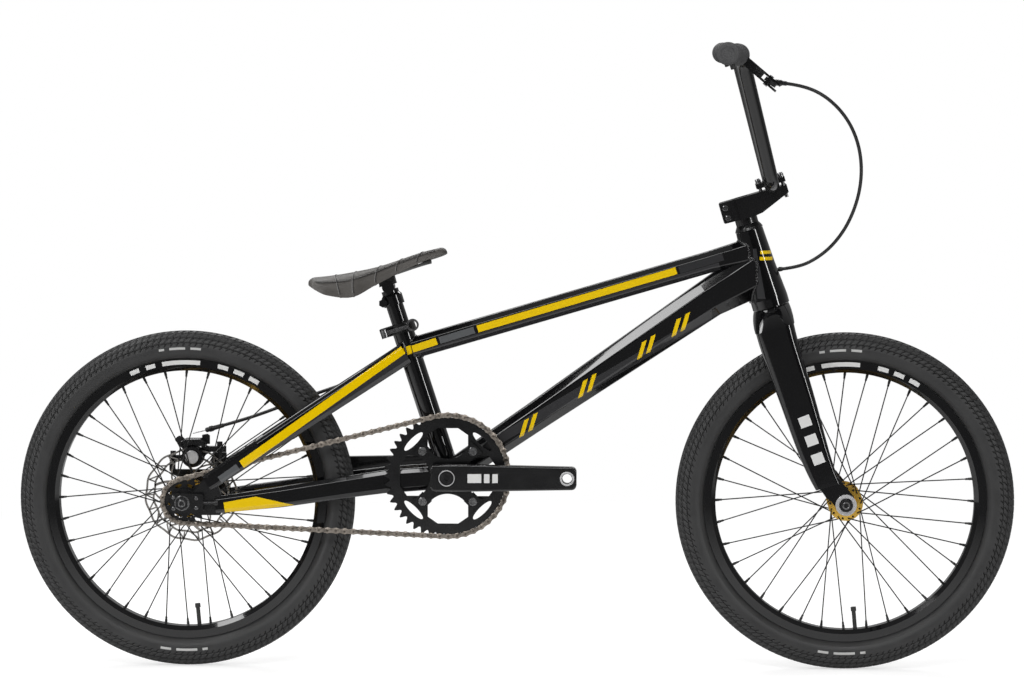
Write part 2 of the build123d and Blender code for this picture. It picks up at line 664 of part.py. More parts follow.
def tyre_of(axle):
    """A round rubber casing, open towards the rim."""
    half = TYRE_WIDTH / 2
    outer = [(222, half), (236, half * 0.82), (244.5, half * 0.42)]
    inner = [(222, half - 3.2), (235, half * 0.64)]
    with BuildPart() as tyre:
        with BuildSketch(Plane(origin=axle, x_dir=(1, 0, 0), z_dir=(0, 0, 1))):
            with BuildLine():
                Spline(
                    (206.4, 11.8), *outer, (TYRE_RADIUS, 0), *[(r, -y) for r, y in reversed(outer)],
                    (206.4, -11.8),
                )
                Polyline((206.4, -11.8), (198, -11.8), (198, -8.6), (207, -8.6))
                Spline((207, -8.6), *[(r, -y) for r, y in inner], (243.2, 0), *reversed(inner), (207, 8.6))
                Polyline((207, 8.6), (198, 8.6), (198, 11.8), (206.4, 11.8))
            make_face()
        revolve(axis=Axis(axle, RIGHT))
    return tyre


def rim_of(axle):
    """A double-walled alloy rim with its spoke and valve holes."""
    with BuildPart() as ring:
        with BuildSketch(Plane(origin=axle, x_dir=(1, 0, 0), z_dir=(0, 0, 1))):
            with BuildLine():
                Polyline(
                    (RIM_INNER, -9), (RIM_INNER, 9), (195, 14), (RIM_OUTER, 14), (RIM_OUTER, 12.2),
                    (197.6, 12.2),
                    (196.6, 6), (196.6, -6), (197.6, -12.2), (RIM_OUTER, -12.2), (RIM_OUTER, -14), (195, -14),
                    close=True,
                )
            make_face()
            with BuildLine():
                Polyline((RIM_INNER + 1.6, -8), (RIM_INNER + 1.6, 8), (194.6, 11), (194.6, -11), close=True)
            make_face(mode=Mode.SUBTRACT)
        revolve(axis=Axis(axle, RIGHT))
    spoke_hole = rod((RIM_INNER - 3, 0, 0), (200, 0, 0), 2.9)
    valve_hole = rod(wheel_point(RIM_INNER - 3, VALVE_ANGLE), wheel_point(200, VALVE_ANGLE), 3.4)
    with BuildPart(wheel_plane(axle)) as rim:
        add(ring.part.moved(Location(wheel_plane(axle)).inverse()))
        with PolarLocations(0, SPOKES):
            add(spoke_hole.part, mode=Mode.SUBTRACT)
        add(valve_hole.part, mode=Mode.SUBTRACT)
    return rim


def inner_tube_of(axle):
    """The inflated inner tube with its valve stem through the rim."""
    section = Plane(origin=axle, x_dir=(1, 0, 0), z_dir=(0, 0, 1))
    with BuildPart() as tube:
        with BuildSketch(section):
            with Locations((221, 0)):
                Circle(15.0)
                Circle(13.9, mode=Mode.SUBTRACT)
        revolve(axis=Axis(axle, RIGHT))
    stem = rod(wheel_point(163, VALVE_ANGLE), wheel_point(206.5, VALVE_ANGLE), 3.0)
    cap = rod(wheel_point(157, VALVE_ANGLE), wheel_point(163, VALVE_ANGLE), 4.0)
    with BuildPart(wheel_plane(axle)) as placed_stem:
        add(stem.part)
        add(cap.part)
    return together(tube, placed_stem)


def spokes_of(axle, flanges):
    """Tangent spokes crossing three times, each with its elbow through the flange and its nipple."""
    masters = []
    for side, flange in zip((1, -1), flanges):
        for turn in (1, -1):
            hub_angle = (0 if turn > 0 else 20) + (0 if side > 0 else 10)
            rim_angle = hub_angle + turn * CROSS_ANGLE
            lean = flange + (OUTER_LEAN if turn > 0 else INNER_LEAN)
            hub = wheel_point(SPOKE_HOLE_CIRCLE, hub_angle, side * lean)
            rim = wheel_point(192.0, rim_angle)
            along = (rim - hub).normalized()
            neck = rim - along * 16.0
            masters.append(rod(hub - along * 0.6, neck, SPOKE_RADIUS))
            masters.append(rod(neck, rim, NIPPLE_RADIUS))
    with BuildPart(wheel_plane(axle)) as spokes:
        with PolarLocations(0, SPOKES // 4):
            for master in masters:
                add(master.part)
    return spokes


def hub_bearing(axle, along, width):
    """A sealed bearing with the end cap that meets the fork or frame."""
    end = width / 2 - 0.2
    return turned(axle, along, [
        (AXLE_RADIUS + RUNNING_GAP, end - 20), (8.95, end - 20), (8.95, end - 11.6), (11, end - 11.6),
        (11, end), (AXLE_RADIUS + RUNNING_GAP, end),
    ])


FLANGE_HALF = 1.6
FLANGE_RADIUS = 25.5
front_flange = FLANGE_OFFSETS["front"][0]
front_shell = turned(FRONT_AXLE, RIGHT, [
    (9, -38), (15, -38), (16, -36),
    (FLANGE_RADIUS, -front_flange - FLANGE_HALF), (FLANGE_RADIUS, -front_flange + FLANGE_HALF),
    (17, -front_flange + FLANGE_HALF + 1), (14, -22), (12.5, 0), (14, 22),
    (17, front_flange - FLANGE_HALF - 1),
    (FLANGE_RADIUS, front_flange - FLANGE_HALF), (FLANGE_RADIUS, front_flange + FLANGE_HALF),
    (16, 36), (15, 38), (9, 38),
])
front_hub = apart(
    front_shell, hub_bearing(FRONT_AXLE, RIGHT, FRONT_HUB_WIDTH),
    hub_bearing(FRONT_AXLE, LEFT, FRONT_HUB_WIDTH),
)
rear_flange, disc_flange = FLANGE_OFFSETS["rear"]
DRIVER_RADIUS = 12.0
rear_shell = turned(REAR_AXLE, RIGHT, [
    (9, -43), (15, -43), (15, -40.2), (23, -40.2), (23, -36.5), (16, -35), (16, -26),
    (FLANGE_RADIUS, -disc_flange - FLANGE_HALF), (FLANGE_RADIUS, -disc_flange + FLANGE_HALF),
    (18, -disc_flange + FLANGE_HALF + 1),
    (16, -13), (16, 15), (18, rear_flange - FLANGE_HALF - 1), (FLANGE_RADIUS, rear_flange - FLANGE_HALF),
    (FLANGE_RADIUS, rear_flange + FLANGE_HALF), (17, rear_flange + FLANGE_HALF + 1), (17, 33.5),
    (DRIVER_RADIUS, 33.5), (DRIVER_RADIUS, 43), (9, 43),
])
rear_hub = apart(
    rear_shell, hub_bearing(REAR_AXLE, RIGHT, REAR_HUB_WIDTH), hub_bearing(REAR_AXLE, LEFT, REAR_HUB_WIDTH)
)
write(front_hub, "front_hub")
write(rear_hub, "rear_hub")
for wheel, axle in (("front", FRONT_AXLE), ("rear", REAR_AXLE)):
    write(tyre_of(axle), f"{wheel}_tyre")
    write(rim_of(axle), f"{wheel}_rim")
    write(inner_tube_of(axle), f"{wheel}_inner_tube")
    write(spokes_of(axle, FLANGE_OFFSETS[wheel]), f"{wheel}_spokes")

# ---------------------------------------------------------------- brake rotor
ROTOR_FACE = 40.4
ROTOR_THICKNESS = 1.8
rotor_plane = Plane(origin=REAR_AXLE + LEFT * ROTOR_FACE, x_dir=(1, 0, 0), z_dir=(0, 1, 0))
with BuildPart() as rotor_disc:
    with BuildSketch(rotor_plane):
        Circle(ROTOR_RADIUS)
        with PolarLocations(ROTOR_RADIUS + 3.6, 12):
            Circle(7.0, mode=Mode.SUBTRACT)
        Circle(54.0, mode=Mode.SUBTRACT)
        with PolarLocations(60.5, 24, start_angle=7.5):
            SlotOverall(9, 3.2, rotation=35, mode=Mode.SUBTRACT)
        with PolarLocations(40.0, 6):
            Rectangle(36, 6.5, rotation=28)
        Circle(27.0)
        Circle(15.1, mode=Mode.SUBTRACT)
    extrude(amount=ROTOR_THICKNESS)
rotor_bolts = [
    disc(
        REAR_AXLE + Vector(19.5 * cos(radians(angle)), 0, 19.5 * sin(radians(angle))), LEFT, 3.6,
        ROTOR_FACE + ROTOR_THICKNESS, ROTOR_FACE + ROTOR_THICKNESS + 2.4,
    )
    for angle in range(0, 360, 60)
]
brake_rotor = apart(rotor_disc, *rotor_bolts)
write(brake_rotor, "brake_rotor")

# ================================================================ drivetrain
SPROCKET_THICKNESS = 2.2


def toothed_outline(teeth, pitch_radius):
    """The closed outline of a sprocket, with a pointed tooth between every two rollers."""
    tip = pitch_radius + 3.9
    root = pitch_radius - 4.0
    step = 360 / teeth
    outline = []
    for tooth in range(teeth):
        middle = tooth * step
        for share, radius in ((-0.36, root + 1.2), (-0.2, pitch_radius + 1.0), (-0.06, tip), (0.06, tip),
                              (0.2, pitch_radius + 1.0), (0.36, root + 1.2)):
            point = wheel_point(radius, middle + share * step)
            outline.append((point.X, point.Y))
        valley = wheel_point(root, middle + 0.5 * step)
        outline.append((valley.X, valley.Y))
    return outline


BOLT_CIRCLE = 52.0
SPROCKET_FACE = RIGHT * (CHAINLINE - SPROCKET_THICKNESS / 2)
ring_plane = Plane(origin=BRACKET + SPROCKET_FACE, x_dir=(1, 0, 0), z_dir=RIGHT)
opening = [(20, -6), (20, 6), (43, 29.5), (60, 29.5), (70, 15), (70, -15), (60, -29.5), (43, -29.5)]
with BuildPart() as ring_body:
    with BuildSketch(ring_plane):
        with BuildLine():
            Polyline(*toothed_outline(RING_TEETH, RING_PITCH_RADIUS), close=True)
        make_face()
        Circle(43.5, mode=Mode.SUBTRACT)
        with PolarLocations(0, 4):
            Polygon(*opening, align=None, mode=Mode.SUBTRACT)
        with PolarLocations(71, 4, start_angle=45):
            Ellipse(5.0, 18.5, mode=Mode.SUBTRACT)
        with PolarLocations(BOLT_CIRCLE, 4, start_angle=45):
            Circle(4.1, mode=Mode.SUBTRACT)
    extrude(amount=SPROCKET_THICKNESS)
chainring = ring_body
write(chainring, "chainring")

ARM_INNER = 62.0
ARM_OUTER = 77.0
SPIDER_INNER = CHAINLINE + SPROCKET_THICKNESS / 2 + 0.2
SPIDER_OUTER = 49.0
PEDAL_HOLE_RADIUS = 7.14
RING_MARK = 13.4
ARM_END_AT = CRANK_LENGTH + 13.5
arm_outline = [(-24, -19), (-24, 19), (30, 19.5), (ARM_END_AT, 16.5), (ARM_END_AT, -16.5), (30, -19.5)]
with BuildPart() as arm_right:
    with BuildSketch(Plane(origin=BRACKET + RIGHT * ARM_INNER, x_dir=(1, 0, 0), z_dir=RIGHT)) as arm_face:
        with BuildLine():
            Polyline(*arm_outline, close=True)
        make_face()
        fillet(arm_face.vertices().filter_by(lambda corner: abs(corner.X - 30) > 1), 7)
    extrude(amount=ARM_OUTER - ARM_INNER)
    fillet(arm_right.faces().sort_by(Axis.Y)[0].edges(), 2.5)
with BuildPart() as spider:
    with BuildSketch(Plane(origin=BRACKET + RIGHT * SPIDER_INNER, x_dir=(1, 0, 0), z_dir=RIGHT)):
        Circle(61)
        with PolarLocations(60.2, 4):
            Circle(34.6, mode=Mode.SUBTRACT)
        with PolarLocations(BOLT_CIRCLE, 4, start_angle=45):
            Circle(4.1, mode=Mode.SUBTRACT)
    extrude(amount=SPIDER_OUTER - SPIDER_INNER)
cup_room = disc(BRACKET, RIGHT, 23.0, 30, 46)
pedal_hole = disc(BRACKET + Vector(CRANK_LENGTH, 0, 0), RIGHT, PEDAL_HOLE_RADIUS, 50, 90)
spindle_mouth = disc(BRACKET, RIGHT, 11.5, ARM_OUTER - 7, ARM_OUTER + 5)
spindle = disc(BRACKET, RIGHT, SPINDLE_RADIUS, -ARM_OUTER + 2, 50, bore=9.0)
right_boss = disc(BRACKET, RIGHT, 19, 46.2, ARM_INNER)
end_ring = disc(BRACKET, RIGHT, RING_MARK, ARM_OUTER, ARM_OUTER + 0.5, bore=11.5)
crank_arm_right = together(
    without(together(arm_right, spider, right_boss), cup_room, pedal_hole, spindle_mouth), spindle, end_ring
)
write(crank_arm_right, "crank_arm_right")

with BuildPart() as arm_left:
    with BuildSketch(Plane(origin=BRACKET + LEFT * ARM_INNER, x_dir=(-1, 0, 0), z_dir=LEFT)) as arm_face:
        with BuildLine():
            Polyline(*arm_outline, close=True)
        make_face()
        fillet(arm_face.vertices().filter_by(lambda corner: abs(abs(corner.X) - 30) > 1), 7)
    extrude(amount=ARM_OUTER - ARM_INNER)
    fillet(arm_left.faces().sort_by(Axis.Y)[-1].edges(), 2.5)
left_boss = disc(BRACKET, LEFT, 19, 46.2, ARM_INNER)
left_pedal_hole = disc(BRACKET - Vector(CRANK_LENGTH, 0, 0), LEFT, PEDAL_HOLE_RADIUS, 50, 90)
spindle_bore = disc(BRACKET, LEFT, SPINDLE_RADIUS + 0.02, 40, 90)
crank_arm_left = without(together(arm_left, left_boss), spindle_bore, left_pedal_hole)
write(crank_arm_left, "crank_arm_left")

chainring_bolts = apart(*[
    together(
        disc(BRACKET + wheel_spot, RIGHT, 4.0, 38.0, SPIDER_OUTER + 0.4),
        disc(BRACKET + wheel_spot, RIGHT, 6.2, 38.0, 39.7),
        disc(BRACKET + wheel_spot, RIGHT, 6.2, SPIDER_OUTER + 0.1, SPIDER_OUTER + 1.4),
    )
    for wheel_spot in [
        Vector(BOLT_CIRCLE * cos(radians(angle)), 0, BOLT_CIRCLE * sin(radians(angle)))
        for angle in (45, 135, 225, 315)
    ]
])
write(chainring_bolts, "chainring_bolts")

cog_plane = Plane(origin=REAR_AXLE + SPROCKET_FACE, x_dir=(1, 0, 0), z_dir=RIGHT)
with BuildPart() as cog_disc:
    with BuildSketch(cog_plane):
        with BuildLine():
            Polyline(*toothed_outline(COG_TEETH, COG_PITCH_RADIUS), close=True)
        make_face()
        with PolarLocations(23.5, 8, start_angle=22.5):
            Ellipse(2.4, 6.0, mode=Mode.SUBTRACT)
        Circle(DRIVER_RADIUS + RUNNING_GAP, mode=Mode.SUBTRACT)
    extrude(amount=SPROCKET_THICKNESS)
cog_body = disc(REAR_AXLE, RIGHT, 18, 34, 50, bore=DRIVER_RADIUS + RUNNING_GAP)
rear_cog = together(cog_disc, cog_body)
write(rear_cog, "rear_cog")

# ---------------------------------------------------------------- chain
PLATE_THICKNESS = 0.9
INNER_LAYER = 1.5
OUTER_LAYER = INNER_LAYER + PLATE_THICKNESS
PIN_HALF = 3.7
CENTRE_RUN = BRACKET - REAR_AXLE
CENTRE_DISTANCE = CENTRE_RUN.length
BASE_TILT = atan2(CENTRE_RUN.Z, CENTRE_RUN.X)
WRAP_TILT = asin((RING_PITCH_RADIUS - COG_PITCH_RADIUS) / CENTRE_DISTANCE)
STRAIGHT = CENTRE_DISTANCE * cos(WRAP_TILT)
RING_WRAP = pi + 2 * WRAP_TILT
COG_WRAP = pi - 2 * WRAP_TILT
LOOP_LENGTH = 2 * STRAIGHT + RING_WRAP * RING_PITCH_RADIUS + COG_WRAP * COG_PITCH_RADIUS
LINK_STEP = LOOP_LENGTH / CHAIN_LINKS
UPPER_ANGLE = BASE_TILT + WRAP_TILT + pi / 2
LOWER_ANGLE = BASE_TILT - WRAP_TILT - pi / 2


def on_circle(centre, radius, angle):
    """A point of a circle in the bicycle's side view."""
    return Vector(centre.X + radius * cos(angle), 0, centre.Z + radius * sin(angle))


def chain_place(travel):
    """Where the chain's pitch line is after a distance, and which stretch that is."""
    travel = travel % LOOP_LENGTH
    upper_start = on_circle(REAR_AXLE, COG_PITCH_RADIUS, UPPER_ANGLE)
    upper_end = on_circle(BRACKET, RING_PITCH_RADIUS, UPPER_ANGLE)
    lower_start = on_circle(BRACKET, RING_PITCH_RADIUS, LOWER_ANGLE)
    lower_end = on_circle(REAR_AXLE, COG_PITCH_RADIUS, LOWER_ANGLE)
    if travel <= STRAIGHT:
        return upper_start + (upper_end - upper_start) * (travel / STRAIGHT), "upper"
    travel -= STRAIGHT
    if travel <= RING_WRAP * RING_PITCH_RADIUS:
        return on_circle(BRACKET, RING_PITCH_RADIUS, UPPER_ANGLE - travel / RING_PITCH_RADIUS), "ring"
    travel -= RING_WRAP * RING_PITCH_RADIUS
    if travel <= STRAIGHT:
        return lower_start + (lower_end - lower_start) * (travel / STRAIGHT), "lower"
    travel -= STRAIGHT
    return on_circle(REAR_AXLE, COG_PITCH_RADIUS, LOWER_ANGLE - travel / COG_PITCH_RADIUS), "cog"


pins = [chain_place(index * LINK_STEP) for index in range(CHAIN_LINKS)]
links = {"upper": [], "ring": [], "lower": [], "cog": []}
for index, (start, stretch) in enumerate(pins):
    end, next_stretch = pins[(index + 1) % CHAIN_LINKS]
    if stretch != next_stretch and stretch in ("upper", "lower"):
        stretch = next_stretch
    links[stretch].append((start, end, index % 2 == 0))


TOOTH_REACH = 8.2


def clear_of_teeth(place):
    """Whether a roller here stays out of both sprockets' teeth."""
    off_ring = (place - BRACKET).length > RING_PITCH_RADIUS + TOOTH_REACH
    off_cog = (place - REAR_AXLE).length > COG_PITCH_RADIUS + TOOTH_REACH
    return off_ring and off_cog


def chain_of(stretches, with_pins):
    """The side plates of some stretches of chain, with the pins and rollers that join them."""
    chosen = [link for stretch in stretches for link in links[stretch]]
    with BuildPart() as chain:
        for is_outer, offset in ((True, OUTER_LAYER), (False, INNER_LAYER)):
            for near in (-offset - PLATE_THICKNESS, offset):
                with BuildSketch(upright_plane(-CHAINLINE - near)):
                    for start, end, outer_link in chosen:
                        if outer_link != is_outer:
                            continue
                        middle = (start + end) * 0.5
                        turn = degrees(atan2(end.Z - start.Z, end.X - start.X))
                        with Locations(Location((middle.X, middle.Z, 0), (0, 0, turn))):
                            SlotCenterToCenter(LINK_STEP, 8.4 if outer_link else 8.8)
                extrude(amount=PLATE_THICKNESS)
        if with_pins:
            for radius, half in ((1.8, PIN_HALF), (3.8, INNER_LAYER)):
                with BuildSketch(upright_plane(-CHAINLINE + half)):
                    for start, end, outer_link in chosen[1:]:
                        if not clear_of_teeth(start):
                            continue
                        with Locations((start.X, start.Z)):
                            Circle(radius)
                extrude(amount=2 * half)
    return chain


write(chain_of(["upper"], True), "chain_upper_run")
write(chain_of(["lower"], True), "chain_lower_run")
write(chain_of(["ring", "cog"], False), "chain_wraps")

# ================================================================ rear disc brake
CALIPER = Vector(-480, 0, 305)
CALIPER_INNER = 28.0
CALIPER_OUTER = 56.0
PAD_RADIUS = 10.0
PAD_GAP = 0.4


def left_plate(outline, y_inner, y_outer, corner=0.0):
    """A flat plate between two distances to the rider's left."""
    return plate(outline, -y_outer, -y_inner, corner)


caliper_block = left_plate(
    [(-506, 292), (-498, 285), (-460, 285), (-453, 294), (-453, 322), (-464, 332), (-494, 332), (-506, 320)],
    CALIPER_INNER, CALIPER_OUTER, corner=4,
)
ear_rear = left_plate([(-516, 296.4), (-500, 296.4), (-500, 306), (-516, 306)], 47, 55, corner=2)
ear_front = left_plate([(-460, 310.4), (-431, 310.4), (-431, 320), (-460, 320)], 47, 55, corner=2)
rotor_room = disc(REAR_AXLE, LEFT, ROTOR_RADIUS + 2, ROTOR_FACE - 1.6, ROTOR_FACE + ROTOR_THICKNESS + 1.6)
pad_room = disc(CALIPER, LEFT, PAD_RADIUS + 1, ROTOR_FACE - 5, ROTOR_FACE + ROTOR_THICKNESS + 5)
DIAL_STEM = 4.0
dial_bore = disc(CALIPER, LEFT, DIAL_STEM, CALIPER_INNER - 1, CALIPER_INNER + 5)
EAR_BOLTS = (Vector(-510.5, 51, 0), Vector(-441, 51, 0))
ear_holes = together(*[disc(spot + Vector(0, 0, 280), (0, 0, 1), 3.05, 0, 60) for spot in EAR_BOLTS])
arm_pivot = disc(CALIPER, LEFT, 5.0, CALIPER_OUTER - 1, CALIPER_OUTER + 5.8)
cable_stop = left_plate([(-468, 322), (-456, 322), (-456, 335), (-460, 337.6), (-468, 336)], 53, 61, corner=1)
caliper_casting = without(
    together(caliper_block, ear_rear, ear_front), rotor_room, pad_room, dial_bore, ear_holes
)
caliper_body = together(caliper_casting, arm_pivot, cable_stop)
write(caliper_body, "caliper_body")

bracket_outline = [
    (-516, 283), (-516, 296), (-507.5, 296), (-507.5, 284.6), (-452, 284.6), (-452, 310), (-431, 310),
    (-431, 284), (-440, 262), (-468, 262), (-480, 274), (-505, 274),
]
caliper_bracket = without(
    left_plate(bracket_outline, 48, DROPOUT_INNER, corner=1.5), ear_holes, other_side(seat_stay_solid)
)
write(caliper_bracket, "caliper_bracket")

caliper_bolts = apart(*[
    together(
        disc(spot + Vector(0, 0, top), (0, 0, 1), 3.0, -22, 0),
        disc(spot + Vector(0, 0, top), (0, 0, 1), 4.2, 0, 6),
    )
    for spot, top in zip(EAR_BOLTS, (306, 320))
])
write(caliper_bolts, "caliper_bolts")

PAD_THICKNESS = 3.6
inner_face = ROTOR_FACE - PAD_GAP
outer_face = ROTOR_FACE + ROTOR_THICKNESS + PAD_GAP
pad_inner = disc(CALIPER, LEFT, PAD_RADIUS, inner_face - PAD_THICKNESS, inner_face)
pad_outer = disc(CALIPER, LEFT, PAD_RADIUS, outer_face, outer_face + PAD_THICKNESS)
brake_pads = apart(pad_inner, pad_outer)
write(brake_pads, "brake_pads")

DIAL_RADIUS = 10.0
DIAL_FACE = CALIPER_INNER - 3.8
DIAL_BACK = CALIPER_INNER - 0.3
pad_adjuster = together(
    disc(CALIPER, LEFT, DIAL_RADIUS, DIAL_FACE, DIAL_BACK),
    disc(CALIPER, LEFT, DIAL_STEM - RUNNING_GAP, DIAL_BACK, CALIPER_INNER + 4.8),
)
write(pad_adjuster, "pad_adjuster")

ARM_START = CALIPER_OUTER + 0.4
ARM_END = ARM_START + 5.0
ANCHOR = Vector(-503, 0, 328)
arm_plate = left_plate(
    [(-489, 305), (-509, 328), (-503, 334), (-497, 332), (-472, 308), (-478, 296)], ARM_START, ARM_END,
    corner=1.5,
)
anchor_bolt = disc(ANCHOR, LEFT, 4.8, ARM_START + 0.4, ARM_END + 3.2)
caliper_arm = without(
    together(arm_plate, disc(CALIPER, LEFT, 9.0, ARM_START, ARM_END), anchor_bolt),
    disc(CALIPER, LEFT, 5.0 + RUNNING_GAP, 50, 70),
)
write(caliper_arm, "caliper_arm")

# ---------------------------------------------------------------- cables


def cord_radii(route):
    """The largest arc that each corner of a route leaves room for."""
    points = [Vector(*point) for point in route]
    radii = []
    for before, corner, after in zip(points, points[1:], points[2:]):
        arriving, leaving = corner - before, after - corner
        half_turn = radians(arriving.get_angle(leaving)) / 2
        radii.append(0.45 * min(arriving.length, leaving.length) / tan(half_turn))
    return radii


def cord_tube(name, route):
    """A cable housing along its route, with its bend radii and its volume checked aloud."""
    radii = cord_radii(route)
    tube = swept_tube(route, radii, CABLE_RADIUS)
    with BuildLine() as path:
        FilletPolyline(*route, radius=radii)
    length = sum(edge.length for edge in path.edges())
    ratio = tube.part.volume / (pi * CABLE_RADIUS ** 2 * length)
    rounded = [round(r, 1) for r in radii]
    print(name, "length", round(length, 1), "radii", rounded, "volume ratio", round(ratio, 4))
    return tube


CABLE_EXIT = (383.0, -184.0, 860.0)
front_cable_route = [
    CABLE_EXIT, (413, -163, 857), (450, -146, 840), (482, -124, 806), (500, -96, 761), (502, -66, 710),
    (488, -36, 660), (464, -9, 622), (434, 6, 598), (408, 13, 588.5), tuple(FRONT_PORT),
]
front_cable = without(cord_tube("front_cable", front_cable_route), turned(STEER_FOOT, STEER_UP, [
    (0, 0), *[(radius + 0.3, up) for radius, up in HEAD_OUTLINE], (0, HEAD_LENGTH)
]))
write(front_cable, "front_cable")

BOOT_START = Vector(-463, 59, 342)
BOOT_END = Vector(-437, 58.5, 349.5)
rear_cable_route = [
    tuple(BOOT_END), (-405, 58, 358.5), (-368, 54.5, 371.5), (-330, 48.5, 386.5), (-296, 42, 399),
    tuple(REAR_PORT),
]
boot_run = BOOT_END - BOOT_START
boot = turned(BOOT_START, boot_run, [
    (0, 0), (3.6, 0), (3.6, 6), (4.4, 6), (4.4, 11), (3.4, 13), (3.2, boot_run.length), (0, boot_run.length),
])
inner_wire = rod((-482, 59, 337.5), BOOT_START, 0.8)
rear_housing = without(cord_tube("rear_cable", rear_cable_route), seat_stay_left)
rear_cable = apart(together(rear_housing, boot), inner_wire)
write(rear_cable, "rear_cable")

# ================================================================ brake lever
LEVER_DOWN = Vector(0.76, 0, -0.65).normalized()
LEVER_AXIS = Vector(0.65, 0, 0.76).normalized()
LEVER_BAR_POINT = top_bend + GRIP_OUT * 42.0
PIVOT = LEVER_BAR_POINT + LEVER_DOWN * 56.0 + Vector(0, 9, 0)
lever_clamp = disc(LEVER_BAR_POINT, GRIP_OUT, 15.6, -6.5, 6.5)
bracket_plane = Plane(origin=LEVER_BAR_POINT - LEVER_AXIS * 6.5, x_dir=LEVER_DOWN, z_dir=LEVER_AXIS)
with BuildPart() as bracket_arm:
    with BuildSketch(bracket_plane) as bracket_face:
        with BuildLine():
            Polyline(
                (8, -6.5), (30, -6.5), (48, -12), (72, -12), (74, 10), (64, 20), (50, 20), (30, 6.5),
                (8, 6.5),
                close=True,
            )
        make_face()
        fillet(bracket_face.vertices(), 2)
    extrude(amount=13)
blade_slot_plane = Plane(origin=PIVOT - LEVER_AXIS * 3.4, x_dir=LEVER_DOWN, z_dir=LEVER_AXIS)
with BuildPart() as blade_slot:
    with BuildSketch(blade_slot_plane):
        with Locations((6, 0)):
            Rectangle(34, 44)
    extrude(amount=6.8)
clamp_bore = disc(LEVER_BAR_POINT, GRIP_OUT, BAR_RADIUS + 0.02, -40, 40)
pivot_pin = disc(PIVOT, LEVER_AXIS, 3.0, -7.5, 7.5)
adjuster = disc(Vector(*CABLE_EXIT), Vector(-30, -21, 3), 4.5, 0.2, 19)
lever_body = without(together(lever_clamp, bracket_arm), clamp_bore, blade_slot)
lever_bracket = together(lever_body, pivot_pin, adjuster)
write(lever_bracket, "lever_bracket")

with BuildPart() as blade:
    with BuildSketch(Plane(origin=PIVOT - LEVER_AXIS * 2.9, x_dir=LEVER_DOWN, z_dir=LEVER_AXIS)):
        Circle(6)
        with BuildLine():
            Polyline(
                (-5, -4), (-1, -22), (-4, -55), (2, -92), (9, -94), (11, -88), (7, -55), (10, -22), (6, 3),
                close=True,
            )
        make_face()
    extrude(amount=5.8)
lever_blade = without(blade, disc(PIVOT, LEVER_AXIS, 3.0 + RUNNING_GAP, -20, 20))
write(lever_blade, "lever_blade")
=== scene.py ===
import json
import math

import bpy
import numpy as np
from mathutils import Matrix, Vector


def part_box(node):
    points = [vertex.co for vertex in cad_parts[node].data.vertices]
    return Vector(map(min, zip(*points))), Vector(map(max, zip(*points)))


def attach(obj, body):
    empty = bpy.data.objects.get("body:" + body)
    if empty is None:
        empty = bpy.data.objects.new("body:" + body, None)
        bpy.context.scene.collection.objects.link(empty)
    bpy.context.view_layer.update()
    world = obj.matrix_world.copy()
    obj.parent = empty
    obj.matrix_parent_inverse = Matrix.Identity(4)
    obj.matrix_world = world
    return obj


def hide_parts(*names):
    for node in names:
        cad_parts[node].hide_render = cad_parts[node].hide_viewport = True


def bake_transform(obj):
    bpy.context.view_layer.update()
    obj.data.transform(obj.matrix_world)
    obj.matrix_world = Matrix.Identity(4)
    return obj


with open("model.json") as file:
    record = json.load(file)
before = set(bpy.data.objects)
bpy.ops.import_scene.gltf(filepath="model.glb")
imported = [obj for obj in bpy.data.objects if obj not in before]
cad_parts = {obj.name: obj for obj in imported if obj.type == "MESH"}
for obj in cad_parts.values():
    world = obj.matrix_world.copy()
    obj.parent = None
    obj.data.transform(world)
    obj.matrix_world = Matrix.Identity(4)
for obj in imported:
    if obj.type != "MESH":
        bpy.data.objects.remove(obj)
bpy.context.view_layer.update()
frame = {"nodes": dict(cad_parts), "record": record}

MM = 0.001
TYRE_RADIUS = 247.5
FRONT_AXLE, REAR_AXLE = Vector((483, 0, TYRE_RADIUS)), Vector((-483, 0, TYRE_RADIUS))
RIGHT, LEFT = Vector((0, -1, 0)), Vector((0, 1, 0))
scene = bpy.context.scene


def mm(*values):
    return Vector(values) * MM


def linked(name, data):
    """A new object in the scene."""
    made = bpy.data.objects.new(name, data)
    scene.collection.objects.link(made)
    return made


# ================================================================ camera, light and floor
CAMERA_AT, LOOK_AT, LENS = mm(240, -6000, 911), mm(-4.5, 0, 480), 144.4

camera = linked("camera", bpy.data.cameras.new("camera"))
camera.location = CAMERA_AT
camera.rotation_euler = (LOOK_AT - CAMERA_AT).to_track_quat("-Z", "Y").to_euler()
camera.data.sensor_width = 36
camera.data.lens = LENS
scene.camera = camera
scene.view_settings.view_transform = "Standard"


